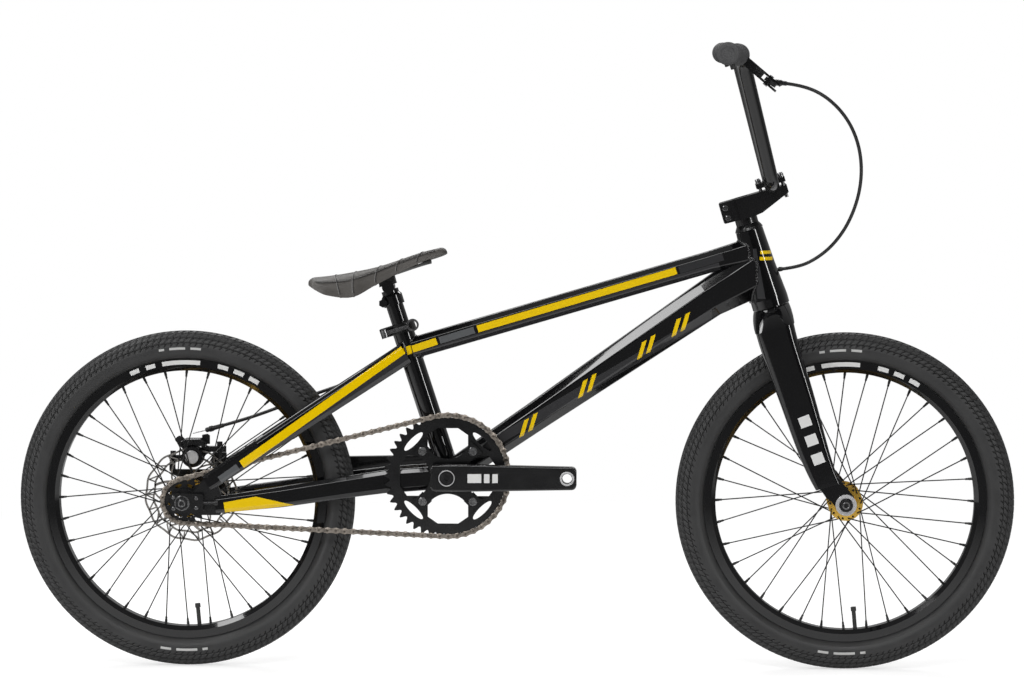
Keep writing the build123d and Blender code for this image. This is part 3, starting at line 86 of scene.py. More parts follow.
class Tree:
    """Builds a node tree. An input is given as a value or as another node's output."""

    def __init__(self, tree):
        self.tree = tree
        tree.nodes.clear()

    def node(self, kind, inputs=(), **settings):
        made = self.tree.nodes.new("ShaderNode" + kind)
        for key, value in settings.items():
            setattr(made, key, value)
        for key, value in dict(inputs).items():
            if hasattr(value, "links"):
                self.tree.links.new(value, made.inputs[key])
            else:
                made.inputs[key].default_value = value
        return made

    def math(self, operation, *values):
        return self.node("Math", enumerate(values), operation=operation).outputs[0]

    def dot(self, vector, direction):
        return self.node("VectorMath", {0: vector, 1: direction}, operation="DOT_PRODUCT").outputs["Value"]

    def noise(self, vector, scale, detail=3.0, stretch=None):
        if stretch:
            vector = self.node("Mapping", {0: vector, "Scale": stretch}).outputs[0]
        inputs = {"Vector": vector, "Scale": scale, "Detail": detail, "Roughness": 0.55}
        return self.node("TexNoise", inputs).outputs[0]

    def ranged(self, value, low, high, from_low=0.3, from_high=0.7):
        return self.node("MapRange", enumerate((value, from_low, from_high, low, high))).outputs[0]

    def mix(self, share, first, second):
        return self.node("Mix", {0: share, 6: first, 7: second}, data_type="RGBA").outputs[2]

    def any_of(self, shares):
        total = shares[0]
        for share in shares[1:]:
            total = self.math("MAXIMUM", total, share)
        return total


def light(name, place, size, power, target=(0, 0, 0.45)):
    """A rectangular light aimed at the target. The first of its sizes is the level one."""
    data = bpy.data.lights.new(name, "AREA")
    data.shape = "RECTANGLE"
    data.size, data.size_y = size
    data.energy = power
    lamp = linked(name, data)
    lamp.location = place
    lamp.rotation_euler = (Vector(target) - Vector(place)).to_track_quat("-Z", "Y").to_euler()


light("front_high_softbox", (0, -3.4, 3.3), (3.8, 1.0), 70)
light("rear_high_softbox", (0, 3.0, 3.2), (3.6, 1.0), 55)
light("slope_strip", (-2.15, 0.0, 3.3), (2.8, 0.8), 46, target=(0.05, 0, 0.42))
light("left_strip", (-3.0, -2.6, 1.5), (0.4, 2.4), 36)
light("right_strip", (3.1, -2.5, 1.4), (0.32, 2.2), 34)

world = bpy.data.worlds.new("studio")
scene.world = world
world.use_nodes = True
sky = Tree(world.node_tree)
sky_place = sky.node("TexCoord").outputs["Generated"]
height = sky.ranged(sky.dot(sky_place, (0, 0, 1)), 0.0, 1.0, -0.1, 0.9)
behind = sky.ranged(sky.dot(sky_place, (0, 1, 0)), 0.0, 1.0, -1.0, 0.6)
level = sky.math("MULTIPLY_ADD", height, 0.06, sky.math("MULTIPLY_ADD", behind, 0.26, 0.02))
soft = sky.node("Background", {"Strength": level})
plain = sky.node("Background", {"Strength": 1.0, "Color": (1, 1, 1, 1)})
camera_ray = sky.node("LightPath").outputs["Is Camera Ray"]
seen = sky.node("MixShader", {0: camera_ray, 1: soft.outputs[0], 2: plain.outputs[0]})
sky.node("OutputWorld", {0: seen.outputs[0]})

RINGS, RING_STEPS = (0.6, 1.2, 2.0, 4.0, 12.0, 60.0), 48
floor_points, floor_faces = [(0.0, 0.0, 0.0)], []
for ring_index, ring in enumerate(RINGS):
    here = 1 + RING_STEPS * ring_index
    for step in range(RING_STEPS):
        turn, after = math.tau * step / RING_STEPS, (step + 1) % RING_STEPS
        floor_points.append((ring * math.cos(turn), ring * math.sin(turn), 0.0))
        if ring_index == 0:
            floor_faces.append((0, here + step, here + after))
        else:
            inner = here - RING_STEPS
            floor_faces.append((inner + step, here + step, here + after, inner + after))
floor_mesh = bpy.data.meshes.new("floor")
floor_mesh.from_pydata(floor_points, [], floor_faces)
floor = linked("floor", floor_mesh)
floor.location.z = -0.0004
floor_finish = bpy.data.materials.new("studio_floor")
floor_finish.use_nodes = True
ground = Tree(floor_finish.node_tree)
ground_place = ground.node("TexCoord").outputs["Object"]
away = ground.node("VectorMath", {0: ground_place}, operation="LENGTH").outputs["Value"]
tone = ground.mix(ground.noise(ground_place, 40), (0.6, 0.6, 0.6, 1), (0.63, 0.63, 0.63, 1))
matt = ground.node("BsdfDiffuse", {0: tone})
camera_ray = ground.node("LightPath").outputs["Is Camera Ray"]
glow = ground.node("Emission", {"Strength": ground.math("MULTIPLY_ADD", camera_ray, 0.88, 0.12)})
lifted = ground.node("Emission", {"Strength": ground.math("MULTIPLY_ADD", camera_ray, 0.45, 0.17)})
near_floor = ground.node("AddShader", {0: matt.outputs[0], 1: lifted.outputs[0]})
far_share = ground.ranged(away, 0.0, 1.0, 1.1, 2.2)
both = ground.node("MixShader", {0: far_share, 1: near_floor.outputs[0], 2: glow.outputs[0]})
ground.node("OutputMaterial", {0: both.outputs[0]})
floor_mesh.materials.append(floor_finish)


# ================================================================ materials
YELLOW = (0.93, 0.62, 0.0, 1)
# PAINTED_REFLECTION_GREY is painted reflection: grey bands along the tubes' side and bevel facets that stand
# for the lights mirrored in the gloss paint.
PAINTED_REFLECTION_GREY = (0.035, 0.035, 0.037, 1)
CLAMP_GREY = (0.03, 0.03, 0.032, 1)
LABEL_GREY = (0.11, 0.115, 0.12, 1)
WHITE = (0.80, 0.80, 0.79, 1)
DASH_GREY = (0.55, 0.55, 0.54, 1)
# PAINTED_GROOVE_SHADE is painted shade: a near black laid into the tread's grooves.
PAINTED_GROOVE_SHADE = (0.003, 0.003, 0.003, 1)
finishes = {}


def middle_of(outline):
    return [sum(values) / len(outline) for values in zip(*outline)]


def bar(start, end, half):
    """A straight band in the side view, from start to end, as a convex outline in mm."""
    start, end = Vector(start), Vector(end)
    along = (end - start).normalized()
    side = Vector((-along.y, along.x)) * half
    return [start - side, end - side, end + side, start + side]


def inside(tree, place, outline):
    """1 inside a convex outline of side-view (x, z) points in mm."""
    centre = Vector(middle_of(outline))
    share = None
    for first, second in zip(outline, outline[1:] + outline[:1]):
        first, run = Vector(first), Vector(second) - Vector(first)
        normal = Vector((-run.y, run.x)).normalized()
        if (centre - first).dot(normal) < 0:
            normal = -normal
        test = tree.math("GREATER_THAN", tree.dot(place, (normal.x, 0, normal.y)), first.dot(normal) * MM)
        share = test if share is None else tree.math("MULTIPLY", share, test)
    return share


def finish_of(
    name, dark, pale, rough=(0.3, 0.4), metallic=0.0, coat=0.0, coat_rough=0.04, scale=60.0, fine=900.0,
    bump=0.02, marks=(), specular=0.5, sheen=0.0, blotch=0.35, custom=None,
):
    """A finish, kept by its name: two tones, a fine grain in roughness and height, then marks: print,
    stripes, and painted reflection bands.
    """
    made = bpy.data.materials.new(name)
    made.use_nodes = True
    tree = Tree(made.node_tree)
    place = tree.node("TexCoord").outputs["Object"]
    slow, grain = tree.noise(place, scale), tree.noise(place, fine, 2.0)
    colour = tree.mix(tree.ranged(slow, 0.0, 1.0), (*dark, 1), (*pale, 1))
    speck = tree.ranged(grain, 0.0, blotch, 0.45, 0.75)
    colour = tree.mix(speck, colour, (*[min(1, value * 1.5) for value in pale], 1))
    roughness = tree.math("ADD", tree.ranged(slow, *rough), tree.ranged(grain, -0.02, 0.02))
    height = grain
    if custom:
        colour, roughness, height = custom(tree, place, colour, roughness, height)
    for outline, tone in marks:
        share = outline(tree, place) if callable(outline) else inside(tree, place, outline)
        colour = tree.mix(share, colour, tone)
    raised = tree.node("Bump", {"Strength": 0.35, "Distance": bump * MM, "Height": height})
    shader = tree.node("BsdfPrincipled", {
        "Base Color": colour, "Roughness": roughness, "Metallic": metallic, "Specular IOR Level": specular,
        "Coat Weight": coat, "Coat Roughness": coat_rough, "Sheen Weight": sheen, "Normal": raised.outputs[0],
    })
    tree.node("OutputMaterial", {0: shader.outputs[0]})
    finishes[name] = made


def gloss_paint(name, marks=()):
    finish_of(
        name, (0.0025, 0.0025, 0.003), (0.0045, 0.0045, 0.005), rough=(0.08, 0.13), coat=0.9, coat_rough=0.02,
        scale=18, fine=1600, bump=0.002, marks=marks, blotch=0.05, specular=0.35,
    )


def slanted(x, z, long, wide):
    """A leaning bar across the down tube."""
    along = Vector((0.9, 0.44)).normalized() * wide
    lean = Vector((0.28, 0.96)).normalized() * long
    corner = Vector((x, z)) - along / 2 - lean / 2
    return [corner, corner + along, corner + along + lean, corner + lean]


def from_axle(tree, place, axle):
    """The place as a vector from a wheel's axle, its distance from the axle and its angle round it."""
    away = tree.node("VectorMath", {0: place, 1: axle * MM}, operation="SUBTRACT").outputs[0]
    across, up = tree.dot(away, (1, 0, 0)), tree.dot(away, (0, 0, 1))
    squares = tree.math("ADD", tree.math("MULTIPLY", across, across), tree.math("MULTIPLY", up, up))
    return away, tree.math("SQRT", squares), tree.math("ARCTAN2", up, across)


def arc_marks(axle, radius, half_depth, spans):
    """Dashes round a wheel between two radii, at the given spans of angle in degrees."""

    def share(tree, place):
        _, distance, angle = from_axle(tree, place, axle)
        ring = tree.math("COMPARE", distance, radius * MM, half_depth * MM)
        dashes = [
            tree.math("COMPARE", angle, math.radians((low + high) / 2), math.radians((high - low) / 2))
            for low, high in spans
        ]
        return tree.math("MULTIPLY", ring, tree.any_of(dashes))

    return share


RIM_DASHES = [(58, 62.5), (65, 69.5), (72, 76.5), (84, 100), (103, 107), (110, 114)]
# In the marks below, the grey bands are painted reflections of the lights in the gloss paint; the yellow
# stripes, labels and white print are the paint's own colours.
SEAT_TUBE_MARKS = [(bar((-186, 455.0), (-146, 471.7), 6.0), YELLOW)]
TOP_MARKS = [
    (bar((-158, 452.5), (300, 589.0), 9.0), PAINTED_REFLECTION_GREY),
    (bar((-54.3, 499.4), (235.9, 585.5), 5.2), YELLOW),
    (bar((-168, 463.6), (-114, 481.4), 5.2), YELLOW),
    (bar((-110, 482.4), (-59, 497.9), 5.0), LABEL_GREY),
    (bar((240, 586.6), (304, 606.0), 5.4), CLAMP_GREY),
]
SEAT_STAY_MARKS = [
    (bar((-436, 260.5), (-150, 463.5), 9.0), PAINTED_REFLECTION_GREY),
    (bar((-396.5, 303.6), (-150, 477.9), 6.0), YELLOW),
    (bar((-428.5, 281.0), (-401.5, 300.1), 5.2), LABEL_GREY),
]
CHAIN_STAY_MARKS = [
    ([(-450, 226), (-120, 258), (-120, 267), (-450, 233.5)], PAINTED_REFLECTION_GREY),
    ([(-423, 247.8), (-376, 256.4), (-320, 243.4), (-421, 231.8)], YELLOW),
]
DOWN_MARKS = [
    ([(-125, 269.6), (288, 513.8), (288, 530), (-125, 286)], PAINTED_REFLECTION_GREY),
    *[(slanted(x, z, 27, 7.5), YELLOW) for x, z in (
        (14, 355), (27, 363.5), (100, 413), (113, 421.5), (186, 470), (199, 478.5), (236, 503), (249, 511),
    )],
]
HEAD_MARKS = [
    ([(354, 545), (366, 545), (352, 618), (347, 618)], PAINTED_REFLECTION_GREY),
    (bar((358, 612.5), (374, 612.5), 2.4), YELLOW),
    (bar((357, 603.5), (376, 603.5), 2.4), YELLOW),
]
FORK_MARKS = [
    (bar((415 + step * 9.5, 366 - step * 27), (431 + step * 9.5, 372 - step * 27), 8.0), WHITE)
    for step in range(3)
]
CRANK_MARKS = [
    ([(start, 279.5), (end, 279.5), (end, 292.5), (start, 292.5)], WHITE)
    for start, end in ((-66, -46), (-42, -34), (-30, -22))
]


def brushed(tree, place, colour, roughness, height):
    """Fine turning lines."""
    lines = tree.noise(place, 500, 2.0, stretch=(1, 0.03, 1))
    return colour, tree.math("ADD", roughness, tree.ranged(lines, -0.05, 0.05)), lines


def leather(tree, place, colour, roughness, height):
    """Pebble grain for a moulded saddle cover."""
    cells = tree.node("TexVoronoi", {"Vector": place, "Scale": 900}, feature="SMOOTH_F1").outputs["Distance"]
    return colour, tree.math("ADD", roughness, tree.ranged(cells, -0.05, 0.06, 0.0, 0.8)), cells


for name in ("frame_paint", "fork_paint", "polished_black"):
    gloss_paint(name)
for name, dark, pale, look in (
    ("black_alloy", (0.0045, 0.0045, 0.005), (0.008, 0.008, 0.0085), dict(
        rough=(0.2, 0.28), scale=30, fine=2200, bump=0.008, coat=0.4, coat_rough=0.08, blotch=0.1)),
    ("crank_paint", (0.004, 0.004, 0.0045), (0.007, 0.007, 0.0075), dict(
        rough=(0.18, 0.26), scale=30, fine=2200, bump=0.006, coat=0.7, blotch=0.08, marks=CRANK_MARKS)),
    ("black_steel", (0.02, 0.02, 0.021), (0.035, 0.035, 0.037), dict(
        rough=(0.25, 0.4), metallic=0.6, scale=80, bump=0.01)),
    ("bright_steel", (0.22, 0.22, 0.225), (0.36, 0.36, 0.365), dict(
        rough=(0.2, 0.32), metallic=1, scale=200, bump=0.01)),
    ("satin_silver", (0.56, 0.56, 0.57), (0.68, 0.68, 0.69), dict(
        rough=(0.3, 0.42), metallic=0.3, custom=brushed)),
    ("bearing_steel", (0.5, 0.5, 0.52), (0.62, 0.62, 0.64), dict(
        rough=(0.18, 0.28), metallic=1, custom=brushed)),
    ("bright_alloy", (0.62, 0.62, 0.64), (0.75, 0.75, 0.77), dict(
        rough=(0.2, 0.32), metallic=1, custom=brushed)),
    ("gold_alloy", (0.70, 0.40, 0.06), (0.88, 0.55, 0.10), dict(
        rough=(0.2, 0.3), metallic=0.7, scale=50, bump=0.01)),
    ("chain_steel", (0.20, 0.175, 0.15), (0.40, 0.355, 0.31), dict(
        rough=(0.28, 0.5), metallic=0.95, scale=240, fine=2600)),
    ("chain_pin", (0.10, 0.085, 0.072), (0.2, 0.175, 0.15), dict(rough=(0.3, 0.5), metallic=0.95, scale=400)),
    ("rotor_steel", (0.36, 0.34, 0.32), (0.52, 0.5, 0.47), dict(
        rough=(0.25, 0.4), metallic=1, custom=brushed)),
    ("spoke_steel", (0.012, 0.012, 0.012), (0.02, 0.02, 0.02), dict(
        rough=(0.25, 0.38), metallic=0.4, scale=120)),
    ("tube_rubber", (0.02, 0.02, 0.02), (0.03, 0.03, 0.03), dict(rough=(0.5, 0.6), bump=0.03)),
    ("grip_rubber", (0.062, 0.062, 0.064), (0.088, 0.088, 0.09), dict(
        rough=(0.55, 0.7), scale=90, fine=1500, bump=0.04, specular=0.35)),
    ("saddle_cover", (0.062, 0.057, 0.052), (0.082, 0.076, 0.070), dict(
        rough=(0.44, 0.54), scale=45, fine=1200, bump=0.012, custom=leather, specular=0.4, blotch=0.15)),
    ("saddle_seam", (0.008, 0.007, 0.007), (0.014, 0.013, 0.012), dict(rough=(0.6, 0.75), scale=300)),
    # This pale finish is a painted highlight, used for the light line beside each cross seam of the saddle.
    ("saddle_highlight_line", (0.14, 0.135, 0.13), (0.2, 0.195, 0.19), dict(
        rough=(0.6, 0.75), scale=300, bump=0.03, sheen=0.2)),
    ("saddle_plastic", (0.008, 0.008, 0.008), (0.014, 0.014, 0.014), dict(
        rough=(0.4, 0.5), fine=1400, bump=0.05)),
    ("cable_housing", (0.012, 0.012, 0.013), (0.02, 0.02, 0.021), dict(
        rough=(0.3, 0.4), fine=1500, bump=0.01)),
    ("pad_compound", (0.035, 0.03, 0.027), (0.07, 0.058, 0.05), dict(
        rough=(0.7, 0.85), scale=500, fine=1800, bump=0.08)),
    ("wire_steel", (0.4, 0.4, 0.41), (0.55, 0.55, 0.56), dict(rough=(0.25, 0.35), metallic=1, scale=900)),
):
    finish_of(name, dark, pale, **look)

PAINTED = {
    "top_tube": TOP_MARKS, "down_tube": DOWN_MARKS, "head_tube": HEAD_MARKS, "seat_tube": SEAT_TUBE_MARKS,
    "seat_stay": SEAT_STAY_MARKS, "chain_stay": CHAIN_STAY_MARKS, "fork_leg": FORK_MARKS,
    "front_rim": [(arc_marks(FRONT_AXLE, 201.5, 3.2, RIM_DASHES), WHITE)],
    "rear_rim": [(arc_marks(REAR_AXLE, 201.5, 3.2, RIM_DASHES), WHITE)],
}
own_finish = {"crank_arm": "crank_paint", "qr_lever": "bright_steel"}
for name, marks in PAINTED.items():
    own_finish[name] = f"{name}_paint"
    gloss_paint(own_finish[name], marks)

for part in frame["record"]["subparts"]:
    coats = frame["nodes"][part["node"]].data.materials
    both_sides = part["node"].removesuffix("_right").removesuffix("_left")
    coats.clear()
    coats.append(finishes.get(own_finish.get(both_sides, part["material_slot"]), finishes["tube_rubber"]))


# ================================================================ mesh helpers
def gather(shapes):
    """Several (points, faces) pairs as one."""
    points, faces = [], []
    for some_points, some_faces in shapes:
        shift = len(points)
        points += list(some_points)
        faces += [tuple(index + shift for index in face) for face in some_faces]
    return points, faces


def piece(name, shapes, finish, body, sharp=32.0, replaces=()):
    """A new mesh object from (points, faces) pairs in metres, riding on a body."""
    points, faces = gather(shapes)
    mesh = bpy.data.meshes.new(name)
    mesh.from_pydata([tuple(point) for point in points], [], faces)
    mesh.validate()
    mesh.shade_smooth()
    mesh.set_sharp_from_angle(angle=math.radians(sharp))
    mesh.materials.append(finishes[finish])
    made = linked(name, mesh)
    if body:
        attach(made, body)
    if replaces:
        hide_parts(*replaces)
    return made


def skin(rows, count, round_rows=False, round_line=True, flip=False):
    """Quads between rows of count points, joined up again at the end where they run round."""
    faces = []
    for row in range(rows if round_rows else rows - 1):
        here, there = row * count, (row + 1) % rows * count
        for index in range(count if round_line else count - 1):
            after = (index + 1) % count
            quad = (here + index, here + after, there + after, there + index)
            faces.append((quad[0], *quad[:0:-1]) if flip else quad)
    return faces


def capped(rows, count):
    """The quads between rows of points, and a cap at each end."""
    last = (rows - 1) * count
    return skin(rows, count) + [tuple(range(count - 1, -1, -1)), tuple(range(last, last + count))]


def frame_about(axis):
    axis = Vector(axis).normalized()
    across = axis.orthogonal().normalized()
    return axis, across, axis.cross(across).normalized()


def lathe(origin, axis, outline, steps=48, closed=True):
    """Points and faces turned from (radius, height) pairs in mm about an axis."""
    axis, across, side = frame_about(axis)
    origin = Vector(origin)
    points = []
    for step in range(steps):
        turn = math.tau * step / steps
        out = across * math.cos(turn) + side * math.sin(turn)
        points += [(origin + out * radius + axis * height) * MM for radius, height in outline]
    return points, skin(steps, len(outline), True, closed, True)


def sweep(route, radii, sides=8):
    """A round bar along points in mm, its radius given once or at each."""
    route = [Vector(point) for point in route]
    if not isinstance(radii, list):
        radii = [radii] * len(route)
    points = []
    across = frame_about(route[1] - route[0])[1]
    for index, (centre, radius) in enumerate(zip(route, radii)):
        arriving = (centre - route[index - 1]).normalized() if index else None
        leaving = (route[index + 1] - centre).normalized() if index + 1 < len(route) else arriving
        along = ((arriving or leaving) + leaving).normalized()
        across = (across - along * across.dot(along)).normalized()
        side = along.cross(across)
        for step in range(sides):
            turn = math.tau * step / sides
            points.append((centre + (across * math.cos(turn) + side * math.sin(turn)) * radius) * MM)
    return points, capped(len(route), sides)


# ================================================================ wheels
DASHES = [(84, 88), (90, 96), (98, 100), (-100, -96), (-94, -86), (-84, -82)]
TREAD_BLOCKS, TREAD_EDGE, TREAD_LEAN, GROOVE_SHARE = 156, 33.4, -0.1, 0.2
TREAD_ROWS = [4.0, 12.0, 20.3, 28.5]
SECTION_MIDDLE, SECTION_RADIUS = 222.0, 24.0
SECTION_HALF, SECTION_RISE, SECTION_FALL = 22.5, 25.5, 18.3
CROWN_WALL, SIDE_WALL = 3.4, 3.2
BEAD_RADIUS, BEAD_INNER, BEAD_OUTER = 198.4, 8.8, 11.8


def tyre_finish(name, axle):
    """Matt rubber with small printed dashes, and painted shade darkening the grooves of the tread and the
    seams between its rows.
    """

    def grooves(tree, place, colour, roughness, height):
        away, distance, angle = from_axle(tree, place, axle)
        sideways = tree.math("ABSOLUTE", tree.dot(away, (0, 1, 0)))
        lean = tree.math("ARCTAN2", sideways, tree.math("SUBTRACT", distance, SECTION_MIDDLE * MM))
        lateral = tree.math("MULTIPLY", lean, SECTION_RADIUS)
        turn = tree.math("MULTIPLY", angle, TREAD_BLOCKS / math.tau)
        along = tree.math("MULTIPLY_ADD", lateral, TREAD_LEAN, turn)
        for at in TREAD_ROWS:
            along = tree.math("MULTIPLY_ADD", tree.math("GREATER_THAN", lateral, at), 0.5, along)
        cut = tree.math("LESS_THAN", tree.math("FLOORED_MODULO", along, 1.0), GROOVE_SHARE)
        seams = [tree.math("COMPARE", lateral, at, 0.7) for at in TREAD_ROWS]
        on_tread = tree.math("LESS_THAN", lateral, TREAD_EDGE)
        share = tree.math("MULTIPLY", tree.any_of([cut, *seams]), on_tread)
        # Painted shade: the grooves and the seams between tread rows are mixed towards near black.
        return tree.mix(share, colour, PAINTED_GROOVE_SHADE), roughness, height

    finish_of(
        name, (0.032, 0.032, 0.0325), (0.043, 0.043, 0.0435), rough=(0.42, 0.56), scale=30, fine=1300,
        bump=0.05, specular=0.4, custom=grooves, marks=[(arc_marks(axle, 222.5, 1.7, DASHES), DASH_GREY)],
    )


def tyre_mesh(axle):
    """A casing with bead, moulded sidewall rings, and a low tread of leaning blocks between fine grooves."""
    per_pitch = 8
    steps = TREAD_BLOCKS * per_pitch
    around = np.arange(steps) * math.tau / steps
    angles = np.radians(np.concatenate([
        np.linspace(-148, -80, 15), np.linspace(-76, 76, 62), np.linspace(80, 148, 15)
    ]))
    cosines, lateral = np.cos(angles), np.abs(angles) * SECTION_RADIUS
    ring = 0.5 * np.exp(-((np.degrees(np.abs(angles)) - 84) / 2.2) ** 2)
    for at in (118, 126, 134):
        ring += 0.35 * np.exp(-((np.degrees(np.abs(angles)) - at) / 1.6) ** 2)
    row = np.digitize(lateral, TREAD_ROWS)
    along = np.arange(steps)[:, None] / per_pitch + TREAD_LEAN * lateral + row * 0.5
    cut = (np.mod(along, 1.0) < GROOVE_SHARE).astype(float)
    for at in TREAD_ROWS:
        cut = np.maximum(cut, np.exp(-((lateral - at) / 0.6) ** 2))
    depth = np.where(lateral < TREAD_EDGE, cut * 1.2, -ring)
    r_out = SECTION_MIDDLE + np.where(cosines > 0, SECTION_RISE, SECTION_FALL) * cosines - depth * cosines
    w_out = (SECTION_HALF - depth) * np.sin(angles)
    inner = np.cos(angles[::-1][::3])
    r_in = SECTION_MIDDLE + (np.where(inner > 0, SECTION_RISE, SECTION_FALL) - CROWN_WALL) * inner
    w_in = (SECTION_HALF - SIDE_WALL) * np.sin(angles[::-1][::3])
    inside_line = [BEAD_OUTER, BEAD_INNER, *w_in, -BEAD_INNER, -BEAD_OUTER]
    beads = np.full((steps, 2), BEAD_RADIUS)
    r_all = np.minimum(np.concatenate([r_out, beads, np.tile(r_in, (steps, 1)), beads], 1), TYRE_RADIUS)
    w_all = np.concatenate([w_out, np.tile(inside_line, (steps, 1))], 1)
    points = np.stack([
        axle.x + r_all * np.cos(around)[:, None], axle.y + w_all, axle.z + r_all * np.sin(around)[:, None]
    ], 2).reshape(-1, 3) * MM
    return points.tolist(), skin(steps, r_all.shape[1], True)


SPOKES, HOLE_CIRCLE, CROSS_ANGLE = 36, 22.0, 60.0
FLANGES = {"front": (33.5, 33.5), "rear": (28.0, 21.4)}


def wheel_point(axle, radius, angle, offset):
    turn = math.radians(angle)
    return axle + Vector((radius * math.cos(turn), -offset, radius * math.sin(turn)))


def spoke_meshes(axle, flanges):
    """Spokes with a head, an elbow through the flange and a threaded end, and the nipples that pull them."""
    wires, nipples = [], []
    for side, flange in zip((1, -1), flanges):
        for turn in (1, -1):
            first = (0 if turn > 0 else 20) + (0 if side > 0 else 10)
            for count in range(SPOKES // 4):
                hub_angle = first + count * 40
                rim_angle = hub_angle + turn * CROSS_ANGLE
                away = flange + turn * 2.75
                through = wheel_point(axle, HOLE_CIRCLE, hub_angle, side * flange)
                rim = wheel_point(axle, 192.0, rim_angle, 0)
                elbow = wheel_point(axle, HOLE_CIRCLE, hub_angle, side * away)
                outward = Vector((0, -side * turn, 0))
                run = rim - elbow
                flat = Vector((run.x, 0, run.z)).normalized()
                clear = elbow + flat * (16 if turn > 0 else 12) + outward * 0.5
                straight = (rim - clear).normalized()
                neck = rim - straight * 13.0
                wires.append(sweep([
                    through - outward * 2.9, through - outward * 1.9, through - outward * 1.7,
                    through + outward * 1.3, elbow + flat * 1.0, elbow + flat * 2.4, clear,
                    clear.lerp(neck, 0.5), neck,
                ], [1.1, 1.8, 0.98, 0.98, 0.98, 0.98, 0.92, 0.88, 0.92]))
                nipples.append(sweep([
                    neck - straight * 0.3, neck + straight * 0.6, neck + straight * 4.5,
                    neck + straight * 5.0, rim - straight * 1.0, rim + straight * 0.6,
                ], [1.25, 1.6, 1.65, 2.0, 2.0, 2.4]))
    return wires, nipples


for wheel, axle in (("front", FRONT_AXLE), ("rear", REAR_AXLE)):
    body, rubber = f"{wheel}_wheel", f"{wheel}_tyre_rubber"
    tyre_finish(rubber, axle)
    piece(f"{wheel}_tyre_treaded", [tyre_mesh(axle)], rubber, body, 28, [f"{wheel}_tyre"])
    wires, nipples = spoke_meshes(axle, FLANGES[wheel])
    piece(f"{wheel}_spoke_wires", wires, "spoke_steel", body, 40, [f"{wheel}_spokes"])
    piece(f"{wheel}_spoke_nipples", nipples, "spoke_steel", body, 40)


# ================================================================ chain
PITCH, CHAINLINE, CHAIN_LINKS = 12.7, 41.0, 92
RING_RADIUS = PITCH / (2 * math.sin(math.pi / 44))
COG_RADIUS = PITCH / (2 * math.sin(math.pi / 16))
BRACKET = Vector((-96.5, 0, 286))
CENTRE_RUN = BRACKET - REAR_AXLE
BASE_TILT = math.atan2(CENTRE_RUN.z, CENTRE_RUN.x)
WRAP_TILT = math.asin((RING_RADIUS - COG_RADIUS) / CENTRE_RUN.length)
STRAIGHT = CENTRE_RUN.length * math.cos(WRAP_TILT)
RING_ARC = (math.pi + 2 * WRAP_TILT) * RING_RADIUS
COG_ARC = (math.pi - 2 * WRAP_TILT) * COG_RADIUS
LOOP = 2 * STRAIGHT + RING_ARC + COG_ARC
UPPER = BASE_TILT + WRAP_TILT + math.pi / 2
LOWER = BASE_TILT - WRAP_TILT - math.pi / 2


def on_circle(centre, radius, angle):
    return Vector((centre.x + radius * math.cos(angle), -CHAINLINE, centre.z + radius * math.sin(angle)))


def chain_place(travel):
    """Where the chain's pitch line is after a distance from the cog's top, and which stretch it is on."""
    travel %= LOOP
    if travel <= STRAIGHT:
        start, end = on_circle(REAR_AXLE, COG_RADIUS, UPPER), on_circle(BRACKET, RING_RADIUS, UPPER)
        return start.lerp(end, travel / STRAIGHT), "upper"
    travel -= STRAIGHT
    if travel <= RING_ARC:
        return on_circle(BRACKET, RING_RADIUS, UPPER - travel / RING_RADIUS), "wraps"
    travel -= RING_ARC
    if travel <= STRAIGHT:
        start, end = on_circle(BRACKET, RING_RADIUS, LOWER), on_circle(REAR_AXLE, COG_RADIUS, LOWER)
        return start.lerp(end, travel / STRAIGHT), "lower"
    travel -= STRAIGHT
    return on_circle(REAR_AXLE, COG_RADIUS, LOWER - travel / COG_RADIUS), "wraps"


def link_plate(start, end, offset, radius, waist, thick=0.9):
    """A waisted side plate with softened edges."""
    along = (end - start).normalized()
    up = Vector((-along.z, 0, along.x))
    outline = []
    for centre, heading in ((end, 1), (start, -1)):
        for step in range(11):
            turn = math.radians(-125 + 25 * step)
            outline.append((centre, (along * math.cos(turn) + up * math.sin(turn)) * heading * radius))
        outline.append(((start + end) * 0.5, up * heading * waist))
    points = [
        (centre + out * share + LEFT * (offset + level)) * MM
        for share, level in ((0.93, 0.0), (1.0, 0.2), (1.0, thick - 0.2), (0.93, thick))
        for centre, out in outline
    ]
    return points, capped(4, len(outline))


PIN = [(0, -3.75), (1.3, -3.75), (1.75, -3.45), (1.75, 3.45), (1.3, 3.75), (0, 3.75)]
ROLLER = [(1.9, -1.45), (3.5, -1.45), (3.85, -1.2), (3.85, 1.2), (3.5, 1.45), (1.9, 1.45)]
TOOTH_ROOM = 8.2
pin_places = [chain_place(index * LOOP / CHAIN_LINKS) for index in range(CHAIN_LINKS)]
plates, pins = {"upper": [], "wraps": [], "lower": []}, {"upper": [], "wraps": [], "lower": []}
for index, (start, stretch) in enumerate(pin_places):
    end, next_stretch = pin_places[(index + 1) % CHAIN_LINKS]
    kept = next_stretch if stretch != "wraps" else stretch
    offsets, radius, waist = ((-2.4, 1.5), 4.35, 3.1) if index % 2 else ((-3.3, 2.4), 4.2, 2.7)
    plates[kept] += [link_plate(start, end, offset, radius, waist) for offset in offsets]
    pins[stretch].append(lathe(start, LEFT, PIN, 12, False))
    level = Vector((start.x, 0, start.z))
    off_ring = (level - BRACKET).length > RING_RADIUS + TOOTH_ROOM
    off_cog = (level - REAR_AXLE).length > COG_RADIUS + TOOTH_ROOM
    if stretch != "wraps" and off_ring and off_cog:
        pins[stretch].append(lathe(start, LEFT, ROLLER, 14))
